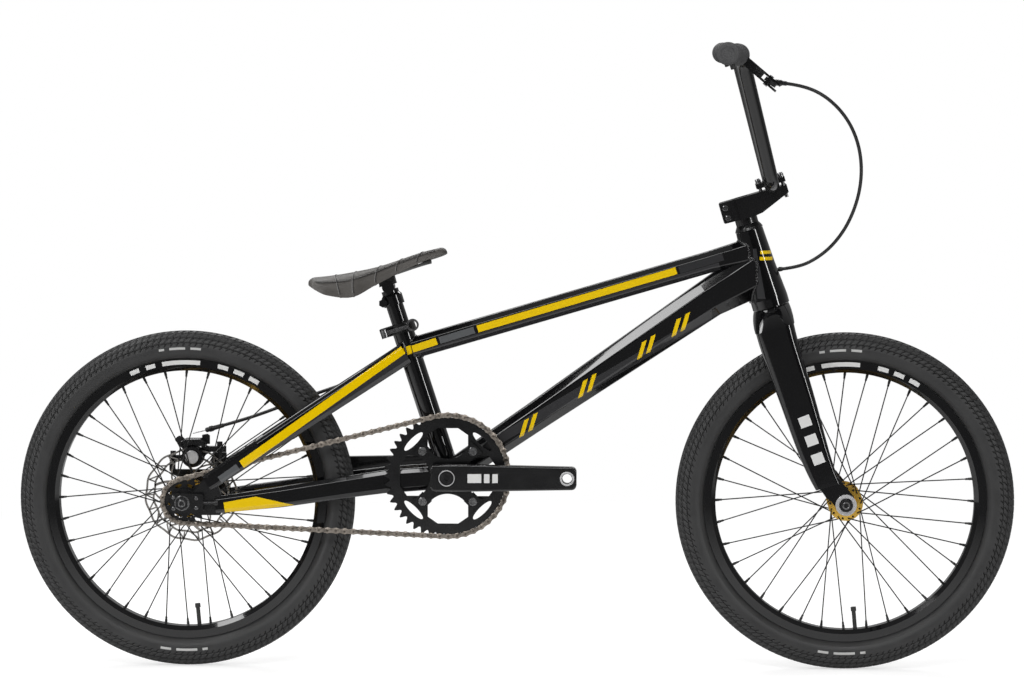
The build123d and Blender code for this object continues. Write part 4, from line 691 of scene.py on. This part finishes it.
for name, replaced in (("upper", "chain_upper_run"), ("lower", "chain_lower_run"), ("wraps", "chain_wraps")):
    piece(f"chain_{name}_plates", plates[name], "chain_steel", "frame", 35, [replaced])
    piece(f"chain_{name}_pins", pins[name], "chain_pin", "frame", 35)


# ================================================================ cables
CABLE_RADIUS, WIRE_RADIUS = 2.5, 0.8
STEER_FOOT = Vector((374.5, 0, 533))
STEER_UP, STEER_AHEAD = Vector((-0.28067, 0, 0.95981)), Vector((0.95981, 0, 0.28067))


def steer_point(ahead, rise, y=0.0):
    return STEER_FOOT + STEER_AHEAD * ahead + STEER_UP * rise + LEFT * y


def line_points(route, name):
    """Points in mm along a smooth curve whose control points are the route's."""
    data = bpy.data.curves.new(name, "CURVE")
    data.dimensions = "3D"
    data.resolution_u = 16
    spline = data.splines.new("NURBS")
    spline.points.add(len(route) - 1)
    for point, place in zip(spline.points, route):
        point.co = (*mm(*place), 1)
    spline.order_u = 3
    spline.use_endpoint_u = True
    line = linked(name, data)
    mesh = bpy.data.meshes.new_from_object(line.evaluated_get(bpy.context.evaluated_depsgraph_get()))
    points = [Vector(vertex.co) / MM for vertex in mesh.vertices]
    bpy.data.objects.remove(line)
    return points


PORT = steer_point(24, 48)
front_route = [
    (383, -184, 860), (413, -163, 857), (450, -146, 840), (482, -124, 806), (500, -96, 761), (502, -66, 710),
    (488, -36, 660), (464, -9, 622), (434, 6, 598), (408, 13, 588.5), (PORT.x, 15, PORT.z),
]
front_points = line_points(front_route, "front_cable_line")
housing = sweep(front_points, CABLE_RADIUS, 16)
front_cable = piece(
    "front_cable_housing", [housing], "cable_housing", None, 60, ["front_cable"],
)
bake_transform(front_cable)
COLLAR = [(2.55, -7), (3.0, -7), (3.3, -5), (3.5, -2.5), (3.5, -1.5), (2.55, -1.5)]
FERRULE = [(2.55, -9), (3.1, -9), (3.3, -8), (3.3, -0.2), (2.55, -0.2)]
collar = lathe(front_points[-1], front_points[-1] - front_points[-4], COLLAR, 24)
ferrule = lathe(front_points[0], front_points[0] - front_points[3], FERRULE, 24)
piece("front_cable_collar", [collar], "saddle_plastic", "frame")
piece("front_cable_ferrule", [ferrule], "black_steel", "front_end")

WIRE_START = Vector((-482, 59, 337.5))
BOOT_START, BOOT_END = Vector((-463, 59, 342)), Vector((-437, 58.5, 349.5))
rear_route = [
    BOOT_END, (-405, 58, 358.5), (-368, 54.5, 371.5), (-330, 48.5, 386.5), (-296, 42, 399), (-262, 37, 411),
]
rear_points = line_points(rear_route, "rear_cable_line")
rear_housing = sweep(rear_points, CABLE_RADIUS, 16)
piece("rear_cable_housing", [rear_housing], "cable_housing", "frame", 60, ["rear_cable"])
boot_run = BOOT_END - BOOT_START
boot_outline = [
    (0.9, 0), (2.2, 0), (3.4, 1.0), (3.6, 2.0), (3.6, 6.0), (4.4, 6.6), (4.4, 7.6), (4.0, 7.9), (4.4, 8.2),
    (4.4, 9.2), (4.0, 9.5), (4.4, 9.8), (4.4, 11.0), (3.5, 13.0), (3.2, boot_run.length - 0.5),
    (2.9, boot_run.length + 1.5), (2.55, boot_run.length + 1.5), (2.55, 14),
]
boot = lathe(BOOT_START, boot_run, boot_outline, 28)
piece("rear_cable_boot", [boot], "saddle_plastic", "frame")
wire_points = [WIRE_START.lerp(BOOT_START, step / 8) for step in range(9)]
inner_wire = sweep(wire_points, WIRE_RADIUS, 10)
wire = piece("rear_inner_wire", [inner_wire], "wire_steel", None, 60)
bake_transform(wire)


# ================================================================ grips
GRIP_START, GRIP_END = Vector((320.6, -228, 900)), Vector((306, -365, 901.5))
GRIP_RADIUS, GRIP_STEPS, PADS_ROUND, PAD_PITCH, PAD_RISE = 14.3, 120, 20, 4.2, 0.75
PADS_FROM, PADS_SHORT = 8.5, 12


def across_to(along, direction):
    """The direction made square to a unit vector."""
    direction = Vector(direction).normalized()
    return (direction - along * direction.dot(along)).normalized()


def grip_mesh(start, end):
    """A rubber sleeve with rows of raised pads, a slim inner collar and a domed end."""
    length = (end - start).length
    along = (end - start).normalized()
    down = across_to(along, (0, 0, -1))
    side = along.cross(down)
    inner = [(11.15, 0.4), (15.4, 0.0), (15.9, 0.8), (15.9, 2.5), (15.4, 3.6), (14.8, 4.6), (14.3, 6.0)]
    outer = [(14.5, length - 10), (15.2, length - 8.5), (15.9, length - 7.0), (16.0, length - 5)]
    outer += [(16.0, length + 1.2), (15.2, length + 2.6), (13.6, length + 3.5), (9.6, length + 3.5)]
    outer += [(9.2, length + 3.0), (5.0, length + 3.0), (4.7, length + 3.4), (0.01, length + 3.4)]
    points = []
    for step in range(GRIP_STEPS):
        turn = math.tau * step / GRIP_STEPS
        out = down * math.cos(turn) + side * math.sin(turn)
        profile = list(inner)
        for rise in np.linspace(7.5, length - 11.0, 190):
            radius = GRIP_RADIUS
            ring = (rise - PADS_FROM) / PAD_PITCH
            off_centre = abs((step / GRIP_STEPS * PADS_ROUND + 0.5 * (int(ring) % 2)) % 1.0 - 0.5)
            if PADS_FROM < rise < length - PADS_SHORT and off_centre < 0.4 and 0.18 < ring % 1.0 < 0.82:
                radius += PAD_RISE * (1.0 - off_centre * 2.4) ** 0.35
            profile.append((radius, rise))
        points += [(start + along * rise + out * radius) * MM for radius, rise in profile + outer]
    return points, skin(GRIP_STEPS, len(points) // GRIP_STEPS, True, False, True)


LOCK = [(0, 14.5), (3.4, 14.5), (3.6, 15), (3.6, 21.6), (3.0, 22.4), (0, 22.4)]
for side_name, mirror in (("right", 1), ("left", -1)):
    start, end = (Vector((point.x, mirror * point.y, point.z)) for point in (GRIP_START, GRIP_END))
    grip, sleeve = f"grip_{side_name}", grip_mesh(start, end)
    piece(f"{grip}_rubber", [sleeve], "grip_rubber", "front_end", 38, [grip])
    along = (end - start).normalized()
    lock = lathe(end - along * 3, across_to(along, (0.35, 0, -1)), LOCK, 24, False)
    piece(f"{grip}_lock", [lock], "saddle_plastic", "front_end")


# ================================================================ saddle
SADDLE_TILT = math.radians(13.7)
SADDLE_AHEAD = Vector((math.cos(SADDLE_TILT), 0, math.sin(SADDLE_TILT)))
SADDLE_UP = Vector((-math.sin(SADDLE_TILT), 0, math.cos(SADDLE_TILT)))
SADDLE_NOSE = Vector((-97, 0, 617))
SECTIONS = np.array([
    # behind the nose, half width, droop of the edges, rise of the middle, thickness
    (4, 12, 8, 4, 13), (30, 17, 12, 4, 15), (75, 23, 17, 1, 15), (115, 42, 25, -1, 15), (150, 60, 34, 0, 14),
    (185, 58, 26, 3, 13), (212, 36, 10, 7, 11),
], float)
TOP_STEPS, UNDER_STEPS, LONG_STEPS = 56, 20, 120
END_ROUND = 9
SEAM_SIDE, SEAM_LEAN = 0.60, 60
CROSS_SEAMS = [(38, 0.20), (70, 0.20), (102, 0.20), (140, 0.12), (172, -0.10)]


def smooth_between(at, xs, ys):
    """A monotone cubic through the sections."""
    slopes = np.diff(ys) / np.diff(xs)
    before, after = slopes[:-1], slopes[1:]
    ends = np.zeros_like(ys)
    ends[1:-1] = np.where(before * after > 0, 2 * before * after / (before + after + 1e-12), 0)
    ends[0], ends[-1] = slopes[0], slopes[-1]
    index = np.clip(np.searchsorted(xs, at) - 1, 0, len(xs) - 2)
    step = xs[index + 1] - xs[index]
    t = (at - xs[index]) / step
    return (
        ys[index] * (1 + 2 * t) * (1 - t) ** 2 + ys[index + 1] * t * t * (3 - 2 * t)
        + step * ends[index] * t * (1 - t) ** 2 - step * ends[index + 1] * t * t * (1 - t)
    )


def arc_height(across, half, sag):
    """Height of an arc over a chord, at a distance from its middle."""
    if abs(sag) < 1e-6:
        return 0.0
    radius = (half * half + sag * sag) / (2 * abs(sag))
    return math.copysign(math.sqrt(max(radius * radius - across * across, 0.0)) - (radius - abs(sag)), sag)


def saddle_point(behind, share, shrink=0.0):
    """The pad's surface in mm: share runs -1..1 across the top, then 1..3 back across underneath."""
    near, far = SECTIONS[0][0], SECTIONS[-1][0]
    inner = float(np.clip(behind, near, far))
    half, droop, rise, thick = (
        float(smooth_between(inner, SECTIONS[:, 0], SECTIONS[:, column])) for column in (1, 2, 3, 4)
    )
    end_gap = min(behind - near, far - behind)
    round_off = 1.0
    if end_gap < END_ROUND:
        round_off = math.sqrt(max(0.0, 1 - ((END_ROUND - end_gap) / END_ROUND) ** 2))
    half = half * (0.35 + 0.65 * round_off) - shrink
    if share <= 1:
        across = half * share
        groove = 1.6 * math.exp(-(across / 7.0) ** 2) * min(1.0, max(0.0, (behind - 60) / 60))
        height_at = arc_height(across, half, droop) - droop - shrink - groove
    else:
        across = half * (2 - share)
        height_at = arc_height(across, half, droop - thick) - droop + shrink * 0.5
    if round_off < 1:
        middle = -(droop + thick) / 2
        height_at = middle + (height_at - middle) * (0.25 + 0.75 * round_off)
    return SADDLE_NOSE - SADDLE_AHEAD * behind + SADDLE_UP * (rise + height_at) + LEFT * across


shares = list(np.linspace(-1, 1, TOP_STEPS + 1)) + list(np.linspace(1, 3, UNDER_STEPS + 1)[1:-1])
behinds = np.concatenate([
    [4, 4.4, 5.2, 6.5, 8.2, 10.3], np.linspace(12.6, 203, LONG_STEPS),
    [205.5, 207.7, 209.5, 210.8, 211.6, 212],
])
ring_count = len(shares)
saddle_points, pinned = [], []
for row_index, behind in enumerate(behinds):
    for share in shares:
        on_seam = share > 1 or abs(share) > 0.93 or abs(abs(share) - SEAM_SIDE) < 0.02 or abs(share) < 0.03
        for at, lean in CROSS_SEAMS:
            on_seam = on_seam or abs(behind - at - lean * abs(share) * SEAM_LEAN) < 0.9
        if on_seam or row_index < 5 or row_index > len(behinds) - 6:
            pinned.append(len(saddle_points))
        saddle_points.append(saddle_point(behind, share, 0.5) * MM)
last_ring = (len(behinds) - 1) * ring_count
saddle_faces = skin(len(behinds), ring_count, flip=True)
saddle_faces += [tuple(range(ring_count)), tuple(range(last_ring + ring_count - 1, last_ring - 1, -1))]
cover = (saddle_points, saddle_faces)
saddle = piece("saddle_cover_padded", [cover], "saddle_cover", None, 50, ["saddle_pad"])


def inflate(cushion, held, pressure=4.0, frames=20, cap=1.6):
    """Puffs the panels between their seams with a short cloth run, and applies the result."""
    before = np.array([vertex.co for vertex in cushion.data.vertices])
    group = cushion.vertex_groups.new(name="held")
    group.add(held, 1.0, "REPLACE")
    cloth = cushion.modifiers.new("cloth", "CLOTH")
    cloth.settings.vertex_group_mass = "held"
    cloth.settings.use_pressure = True
    cloth.settings.uniform_pressure_force = pressure
    cloth.settings.effector_weights.gravity = 0
    cloth.settings.quality = 5
    cloth.settings.mass = 0.3
    cloth.settings.tension_stiffness = 12
    cloth.settings.compression_stiffness = 12
    cloth.settings.bending_stiffness = 0.4
    cloth.point_cache.frame_start = 1
    cloth.point_cache.frame_end = frames
    for at in range(1, frames + 1):
        scene.frame_set(at)
    shaped = cushion.evaluated_get(bpy.context.evaluated_depsgraph_get())
    moved = np.array([vertex.co for vertex in shaped.data.vertices])
    cushion.modifiers.remove(cloth)
    cushion.vertex_groups.remove(group)
    scene.frame_set(1)
    step = moved - before
    size = np.linalg.norm(step, axis=1, keepdims=True)
    step = np.where(size > cap * MM, step * (cap * MM / np.maximum(size, 1e-9)), step)
    move_points(cushion, before + step)


def move_points(cushion, places):
    cushion.data.vertices.foreach_set("co", places.astype(np.float32).ravel())
    cushion.data.update()


inflate(saddle, pinned)

SEAM_DEPTH, PIPING_RISE = 0.9, 0.7
outward = np.array([vertex.normal for vertex in saddle.data.vertices])
rest = np.array([vertex.co for vertex in saddle.data.vertices])
grid_behind = np.repeat(behinds, ring_count)
grid_share = np.tile(np.array(shares), len(behinds))
half_at = np.interp(grid_behind, SECTIONS[:, 0], SECTIONS[:, 1])
seam = np.exp(-((np.abs(grid_share * half_at) - SEAM_SIDE * half_at) / 0.8) ** 2)
for at, lean in CROSS_SEAMS:
    seam = np.maximum(seam, np.exp(-((grid_behind - at - lean * np.abs(grid_share) * SEAM_LEAN) / 0.9) ** 2))
on_top = (grid_share <= 1) & (grid_behind > 14) & (grid_behind < 205)
piping = PIPING_RISE * np.exp(-((np.abs(grid_share) - 0.955) / 0.018) ** 2)
change = np.where(on_top, piping - SEAM_DEPTH * seam, 0.0)
move_points(saddle, rest + outward * change[:, None] * MM)
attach(saddle, "saddle")

STITCH_LENGTH, STITCH_PITCH, STITCH_OFFSET = 2.2, 3.4, 1.9
LIFT = SADDLE_UP * 0.12
stitches = []
for side in (-1, 1):
    for offset in (-STITCH_OFFSET, STITCH_OFFSET):
        for at in np.arange(20.0, 200.0, STITCH_PITCH):
            half_here = float(np.interp(at, SECTIONS[:, 0], SECTIONS[:, 1]))
            share = side * (SEAM_SIDE + offset / half_here)
            first, second = saddle_point(at, share), saddle_point(at + STITCH_LENGTH, share)
            stitches.append(sweep([
                first - LIFT * 3, first + LIFT * 2, (first + second) * 0.5 + LIFT * 3.2, second + LIFT * 2,
                second - LIFT * 3,
            ], [0.24, 0.3, 0.32, 0.3, 0.24], 6))
piece("saddle_stitches", stitches, "saddle_seam", "saddle", 60)


def seam_cord(places, radius, lift):
    """A thin bead that follows the cover through (distance behind the nose, share across) places."""
    return sweep([saddle_point(behind, share) + SADDLE_UP * lift for behind, share in places], radius, 6)


# The pale beads are painted highlights: a light line laid just behind each dark cross seam.
seam_beads, seam_highlight_beads = [], []
for at, lean in CROSS_SEAMS:
    for side in (-1, 1):
        places = [(at + lean * share * SEAM_LEAN, side * share) for share in np.linspace(0.06, 0.94, 24)]
        seam_beads.append(seam_cord(places, 0.75, -0.35))
        seam_highlight_beads.append(seam_cord([(behind + 1.2, share) for behind, share in places], 0.4, -0.12))
for side in (-1, 1):
    places = [(behind, side * SEAM_SIDE) for behind in np.linspace(20, 198, 70)]
    seam_beads.append(seam_cord(places, 0.75, -0.35))
piece("saddle_seams", seam_beads, "saddle_seam", "saddle", 60)
piece("saddle_seam_highlights", seam_highlight_beads, "saddle_highlight_line", "saddle", 60)


# ================================================================ rotor and caliper
def slab(outline, low, high, chamfer=0.6):
    """A flat block between two Y levels in mm, its edges chamfered."""
    centre = Vector(middle_of(outline))
    points = []
    for inset, level in ((chamfer, low), (0, low + chamfer), (0, high - chamfer), (chamfer, high)):
        for corner in outline:
            corner = Vector(corner)
            corner -= (corner - centre).normalized() * inset
            points.append(mm(corner.x, level, corner.y))
    return points, capped(4, len(outline))


def ribbon(route, width, closed=False):
    """A flat strip of the rotor's sheet steel along side-view (x, z) points in mm."""
    route = [Vector((x, 0, z)) for x, z in route]
    count = len(route)
    points = []
    for index, centre in enumerate(route):
        before = route[index - 1] if (index or closed) else centre
        after = route[(index + 1) % count] if (index + 1 < count or closed) else centre
        along = (after - before).normalized()
        side = Vector((-along.z, 0, along.x)) * width / 2
        low, high = centre + LEFT * ROTOR_LOW, centre + LEFT * ROTOR_HIGH
        points += [(low - side) * MM, (high - side) * MM, (high + side) * MM, (low + side) * MM]
    return points, skin(count, 4, True) if closed else capped(count, 4)


def polar(centre, radius, angle):
    turn = math.radians(angle)
    return (centre.x + radius * math.cos(turn), centre.z + radius * math.sin(turn))


def wave(base, size, teeth, steps=216):
    angles = [360 / steps * step for step in range(steps)]
    return [polar(REAR_AXLE, base + size * math.sin(math.radians(angle * teeth)), angle) for angle in angles]


rotor_low, rotor_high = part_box("brake_rotor")
ROTOR_OUT = (rotor_high.x - rotor_low.x) / 2 / MM
ROTOR_LOW, ROTOR_HIGH, BOLT_RING = 40.4, 42.2, 21.0
rotor_parts = [
    ribbon(wave(ROTOR_OUT - 2.6, 1.0, 12), 2.8, True), ribbon(wave(ROTOR_OUT - 14.5, 1.0, 12), 2.8, True),
    ribbon(wave(BOLT_RING, 0.8, 6), 7.0, True),
]
for index in range(36):
    ends = [(ROTOR_OUT - 13.5, index * 10), (ROTOR_OUT - 3.5, index * 10 + (10 if index % 2 else 0))]
    rotor_parts.append(ribbon([polar(REAR_AXLE, radius, angle) for radius, angle in ends], 2.1))
for index in range(6):
    base = index * 60 + 12
    arm = [polar(REAR_AXLE, 20 + step * (ROTOR_OUT - 34) / 8, base + 4.2 * step) for step in range(9)]
    brace = [polar(REAR_AXLE, 33 + step * (ROTOR_OUT - 47) / 4, base + 13 - 7.5 * step) for step in range(5)]
    rotor_parts += [ribbon(arm, 3.6), ribbon(brace, 2.4)]
piece("rotor_disc", rotor_parts, "rotor_steel", "rear_wheel", 30, ["brake_rotor"])
BOLT_HEAD = [(1.3, -0.2), (1.3, 1.2), (1.5, 1.4), (3.6, 1.4), (4.0, 1.0), (4.0, -0.2)]
rotor_bolts = []
for index in range(6):
    x, z = polar(REAR_AXLE, BOLT_RING, index * 60 + 10)
    rotor_bolts.append(lathe((x, ROTOR_HIGH, z), LEFT, BOLT_HEAD, 20))
piece("rotor_bolts", rotor_bolts, "black_steel", "rear_wheel", 35)
CALIPER = Vector((-480, 0, 305))
caliper_parts = [
    lathe(CALIPER, LEFT, [
        (0, 28.3), (10.8, 28.3), (11.2, 29), (14.6, 29), (15.6, 30), (15.6, 31.5), (14.9, 31.9), (15.6, 32.4),
        (15.6, 34), (13.5, 35), (0, 35),
    ], 40, False),
    lathe(CALIPER, LEFT, [
        (0, 42.5), (14, 42.5), (16.6, 43.4), (16.6, 46.5), (15.7, 47), (16.6, 47.5), (16.6, 49.5), (15.7, 50),
        (16.6, 50.5), (16.6, 53), (14.5, 55), (10.5, 55.8), (0, 55.8),
    ], 40, False),
    slab([(-497, 319.6), (-488, 321.5), (-478, 322), (-468, 321.2), (-460, 319.4), (-461, 327), (-468, 331.6),
          (-490, 331.6), (-497, 328)], 28.6, 55.2, 1.2),
    slab([(-515.6, 296.6), (-494, 296.6), (-488, 292), (-486, 306), (-500, 306), (-515.6, 305.6)],
         47.2, 54.8, 1.0),
    slab([(-470, 296), (-462, 306), (-454, 310.7), (-431.4, 310.7), (-431.4, 319.6), (-458, 319.6),
          (-468, 322)], 47.2, 54.8, 1.0),
    slab([(-468, 322), (-456.4, 322), (-456.4, 334.6), (-460, 337), (-467.6, 335.6)], 53.4, 60.6, 0.8),
    lathe(CALIPER, LEFT, [(0, 54), (4.9, 54), (4.9, 61), (4.2, 61.7), (0, 61.7)], 24, False),
]
piece("caliper_casting", caliper_parts, "black_alloy", "frame", 32, ["caliper_body"])
DIAL = [
    (0, 25.2), (2.3, 25.2), (2.5, 24.4), (5.9, 24.3), (6.2, 24.7), (8.0, 24.7), (8.3, 24.3), (9.3, 24.3),
    (9.9, 24.9), (9.9, 27.2), (9.6, 27.6), (4.0, 27.6), (3.9, 32.4), (0, 32.4),
]
dial = lathe(CALIPER, LEFT, DIAL, 56, False)
piece("pad_adjuster_dial", [dial], "satin_silver", "frame", 35, ["pad_adjuster"])


# ================================================================ weld beads
SEAT_UP = Vector((-0.30902, 0, 0.95106))
DOWN_ALONG, TOP_ALONG = Vector((0.8241, 0, 0.5664)), Vector((0.9595, 0, 0.2816))
HEAD_RISES, HEAD_RADII = [0, 12, 62, 116], [27.5, 27.5, 23.0, 20.0]
SEAT_TUBE_RADIUS, SHELL_RADIUS = 15.9, 20.9


def off_head(point):
    rise = (point - STEER_FOOT).dot(STEER_UP)
    return (point - STEER_FOOT - STEER_UP * rise).length - float(np.interp(rise, HEAD_RISES, HEAD_RADII))


def off_seat_tube(point):
    away = point - BRACKET
    return (away - SEAT_UP * away.dot(SEAT_UP)).length - SEAT_TUBE_RADIUS


def off_shell(point):
    return math.hypot(point.x - BRACKET.x, point.z - BRACKET.z) - SHELL_RADIUS


def weld(centre, along, width, height, bevel, off, back=70):
    """A rippled bead where a bevelled tube meets a round one. off gives the distance from the round one."""
    centre, along = Vector(centre), Vector(along).normalized()
    up = along.cross(LEFT).normalized()
    side = up.cross(along).normalized()
    half, rise = width / 2, height / 2
    across, drop = width * bevel, height * bevel
    corners = [
        (-half + across, rise), (half - across, rise), (half, rise - drop), (half, -rise + drop),
        (half - across, -rise), (-half + across, -rise), (-half, -rise + drop), (-half, rise - drop),
    ]
    line = []
    for first, second in zip(corners, corners[1:] + corners[:1]):
        for step in range(8):
            u, v = Vector(first).lerp(Vector(second), step / 8)
            start = centre + side * u + up * v - along * back
            if off(start) < 0 or off(start + along * 0.1) > off(start) + 0.05:
                continue
            far = next((travel for travel in range(1, back + 61) if off(start + along * travel) < 0), None)
            if far is None:
                continue
            near = far - 1
            for _ in range(12):
                middle = (near + far) / 2
                near, far = (middle, far) if off(start + along * middle) > 0 else (near, middle)
            line.append(start + along * near)
    smooth = []
    for first, second in zip(line, line[1:] + line[:1]):
        if (second - first).length <= 14:
            pieces = max(1, int((second - first).length / 1.3))
            smooth += [first.lerp(second, step / pieces) for step in range(pieces)]
    smooth += smooth[:2]
    return sweep(smooth, [2.0 + 0.3 * math.sin(index * 1.9) for index in range(len(smooth))])


beads = [
    weld((330, 0, 609.3), TOP_ALONG, 39.3, 37, 0.22, off_head),
    weld((335, 0, 573.4), DOWN_ALONG, 45.4, 67.7, 0.26, off_head),
    weld((-150, 0, 470), -TOP_ALONG, 34, 31, 0.22, off_seat_tube, 50),
    weld((-80, 0, 294.8), -DOWN_ALONG, 46, 38.5, 0.26, off_shell, 60),
    weld(BRACKET, -SEAT_UP, 31.8, 31.8, 0.29, off_shell),
]
for hand in (-1, 1):
    beads.append(weld((-170, hand * 15.4, 456.5), (72, -hand * 10, 47), 16, 31, 0.2, off_seat_tube, 40))
    beads.append(weld((-140, hand * 25.4, 279.7), (82, -hand * 3.5, 6), 16.6, 34, 0.2, off_shell, 40))
piece("weld_beads", beads, "frame_paint", "frame", 70)


# ================================================================ bolts and rings
def socket_bolt(origin, along, radius, height, socket, shank=0.0):
    """A round-headed bolt with a six-sided socket, and its shank behind the head."""
    axis, across, side = frame_about(along)
    origin = Vector(origin)
    floor_level = height * 0.45
    steps = 36
    points = []
    for step in range(steps):
        turn = math.tau * step / steps
        out = across * math.cos(turn) + side * math.sin(turn)
        hexagon = socket * math.cos(math.pi / 6) / math.cos((turn % (math.tau / 6)) - math.pi / 6)
        profile = [(radius, 0.0), (radius, height - 0.7), (radius - 0.7, height), (hexagon, height)]
        profile.append((hexagon, floor_level))
        points += [(origin + out * rim + axis * level) * MM for rim, level in profile]
    faces = skin(steps, 5, True, False, True)
    faces += [tuple(range(4, 5 * steps, 5)), tuple(range(5 * (steps - 1), -1, -5))]
    made = [(points, faces)]
    if shank:
        made.append(lathe(origin, along, [(0, -shank), (2.5, -shank), (2.5, 0.3), (0, 0.3)], 20, False))
    return gather(made)


def washer(origin, along, inner, outer, low, high, edge=0.4):
    """A flat ring with broken edges."""
    return lathe(origin, along, [
        (inner, low), (outer - edge, low), (outer, low + edge), (outer, high - edge), (outer - edge, high),
        (inner + edge, high), (inner, high - edge),
    ], 56)


STEM_REACH, CAP_TOP = 49.4, 177.5
stem_heads = [
    socket_bolt(steer_point(STEM_REACH + offset, CAP_TOP, y), STEER_UP, 4.0, 6.0, 2.5, 30.0)
    for offset in (-17.5, 16.5) for y in (-18, 18)
]
for rise in (142, 157):
    stem_heads.append(socket_bolt(steer_point(-24.5, rise, -22.0), RIGHT, 4.2, 5.0, 2.6, 40.0))
piece("stem_bolt_set", stem_heads, "bright_steel", "front_end", 35, ["stem_bolts"])

pull = next(joint for joint in frame["record"]["behaviour"]["joints"] if joint["name"] == "brake_lever_pull")
pivot, pivot_axis = Vector(pull["pos_m"]) / MM, Vector(pull["axis"])
pivot_heads = [
    socket_bolt(pivot + outwards * 7.5, outwards, 3.8, 1.2, 1.8) for outwards in (-pivot_axis, pivot_axis)
]
piece("lever_pivot_heads", pivot_heads, "satin_silver", "front_end", 35)

BOLT_CIRCLE, SPIDER_OUTER, SPIDER_INNER = 52.0, 49.1, 39.7
ring_bolts = []
for quarter in range(4):
    x, z = polar(BRACKET, BOLT_CIRCLE, 45 + 90 * quarter)
    ring_bolts.append(socket_bolt((x, -SPIDER_OUTER, z), RIGHT, 6.2, 1.4, 3.2, 10.0))
    ring_bolts.append(socket_bolt((x, -SPIDER_INNER, z), LEFT, 6.2, 1.7, 3.2))
piece("chainring_bolt_set", ring_bolts, "bright_steel", "crankset", 35, ["chainring_bolts"])

ARM_OUTER = 77.0
crank_rings = [
    washer(BRACKET, RIGHT, 10.6, 11.9, ARM_OUTER - 4.0, ARM_OUTER + 0.7, 0.3),
    washer(BRACKET, LEFT, 9.2, 11.6, ARM_OUTER - 4.0, ARM_OUTER - 1.6, 0.3),
]
for hand, side in ((1, RIGHT), (-1, LEFT)):
    pedal_hole = BRACKET + Vector((hand * 175.0, 0, 0))
    crank_rings.append(washer(pedal_hole, side, 7.7, 10.4, ARM_OUTER - 3.0, ARM_OUTER + 0.4, 0.3))
piece("crank_rings", crank_rings, "satin_silver", "crankset", 35)
crank_bolts = [
    socket_bolt(BRACKET + RIGHT * (ARM_OUTER - 7.0), RIGHT, 10.4, 5.0, 5.2),
    socket_bolt(BRACKET + LEFT * (ARM_OUTER - 6.0), LEFT, 9.0, 3.4, 4.4),
]
piece("crank_bolt", crank_bolts, "black_steel", "crankset", 35)

TENSIONER_FACE = 71.0
axle_rings = [
    washer(REAR_AXLE, side, 8.0, 11.0, TENSIONER_FACE, TENSIONER_FACE + 1.8) for side in (RIGHT, LEFT)
]
piece("rear_axle_rings", axle_rings, "bright_steel", "frame", 35)
block_screws = [
    socket_bolt((x, side.y * TENSIONER_FACE, z), side, 2.8, 1.4, 1.5)
    for side in (RIGHT, LEFT) for x, z in ((-495.5, 255.5), (-495.5, 239.5), (-462, 254.5), (-462, 240.5))
]
piece("tensioner_screws", block_screws, "bright_steel", "frame", 35)
front_rings = [washer(FRONT_AXLE, side, 9.8, 15.4, 59.0, 60.4) for side in (RIGHT, LEFT)]
piece("front_axle_rings", front_rings, "satin_silver", "front_end", 35)
for axle, end, body, wheel in ((FRONT_AXLE, 67.5, "front_end", "front"), (REAR_AXLE, 78.0, "frame", "rear")):
    ends = [washer(axle, side, 3.4, 5.6, end - 0.6, end + 0.5, 0.3) for side in (RIGHT, LEFT)]
    piece(f"{wheel}_axle_ends", ends, "bright_steel", body, 35)
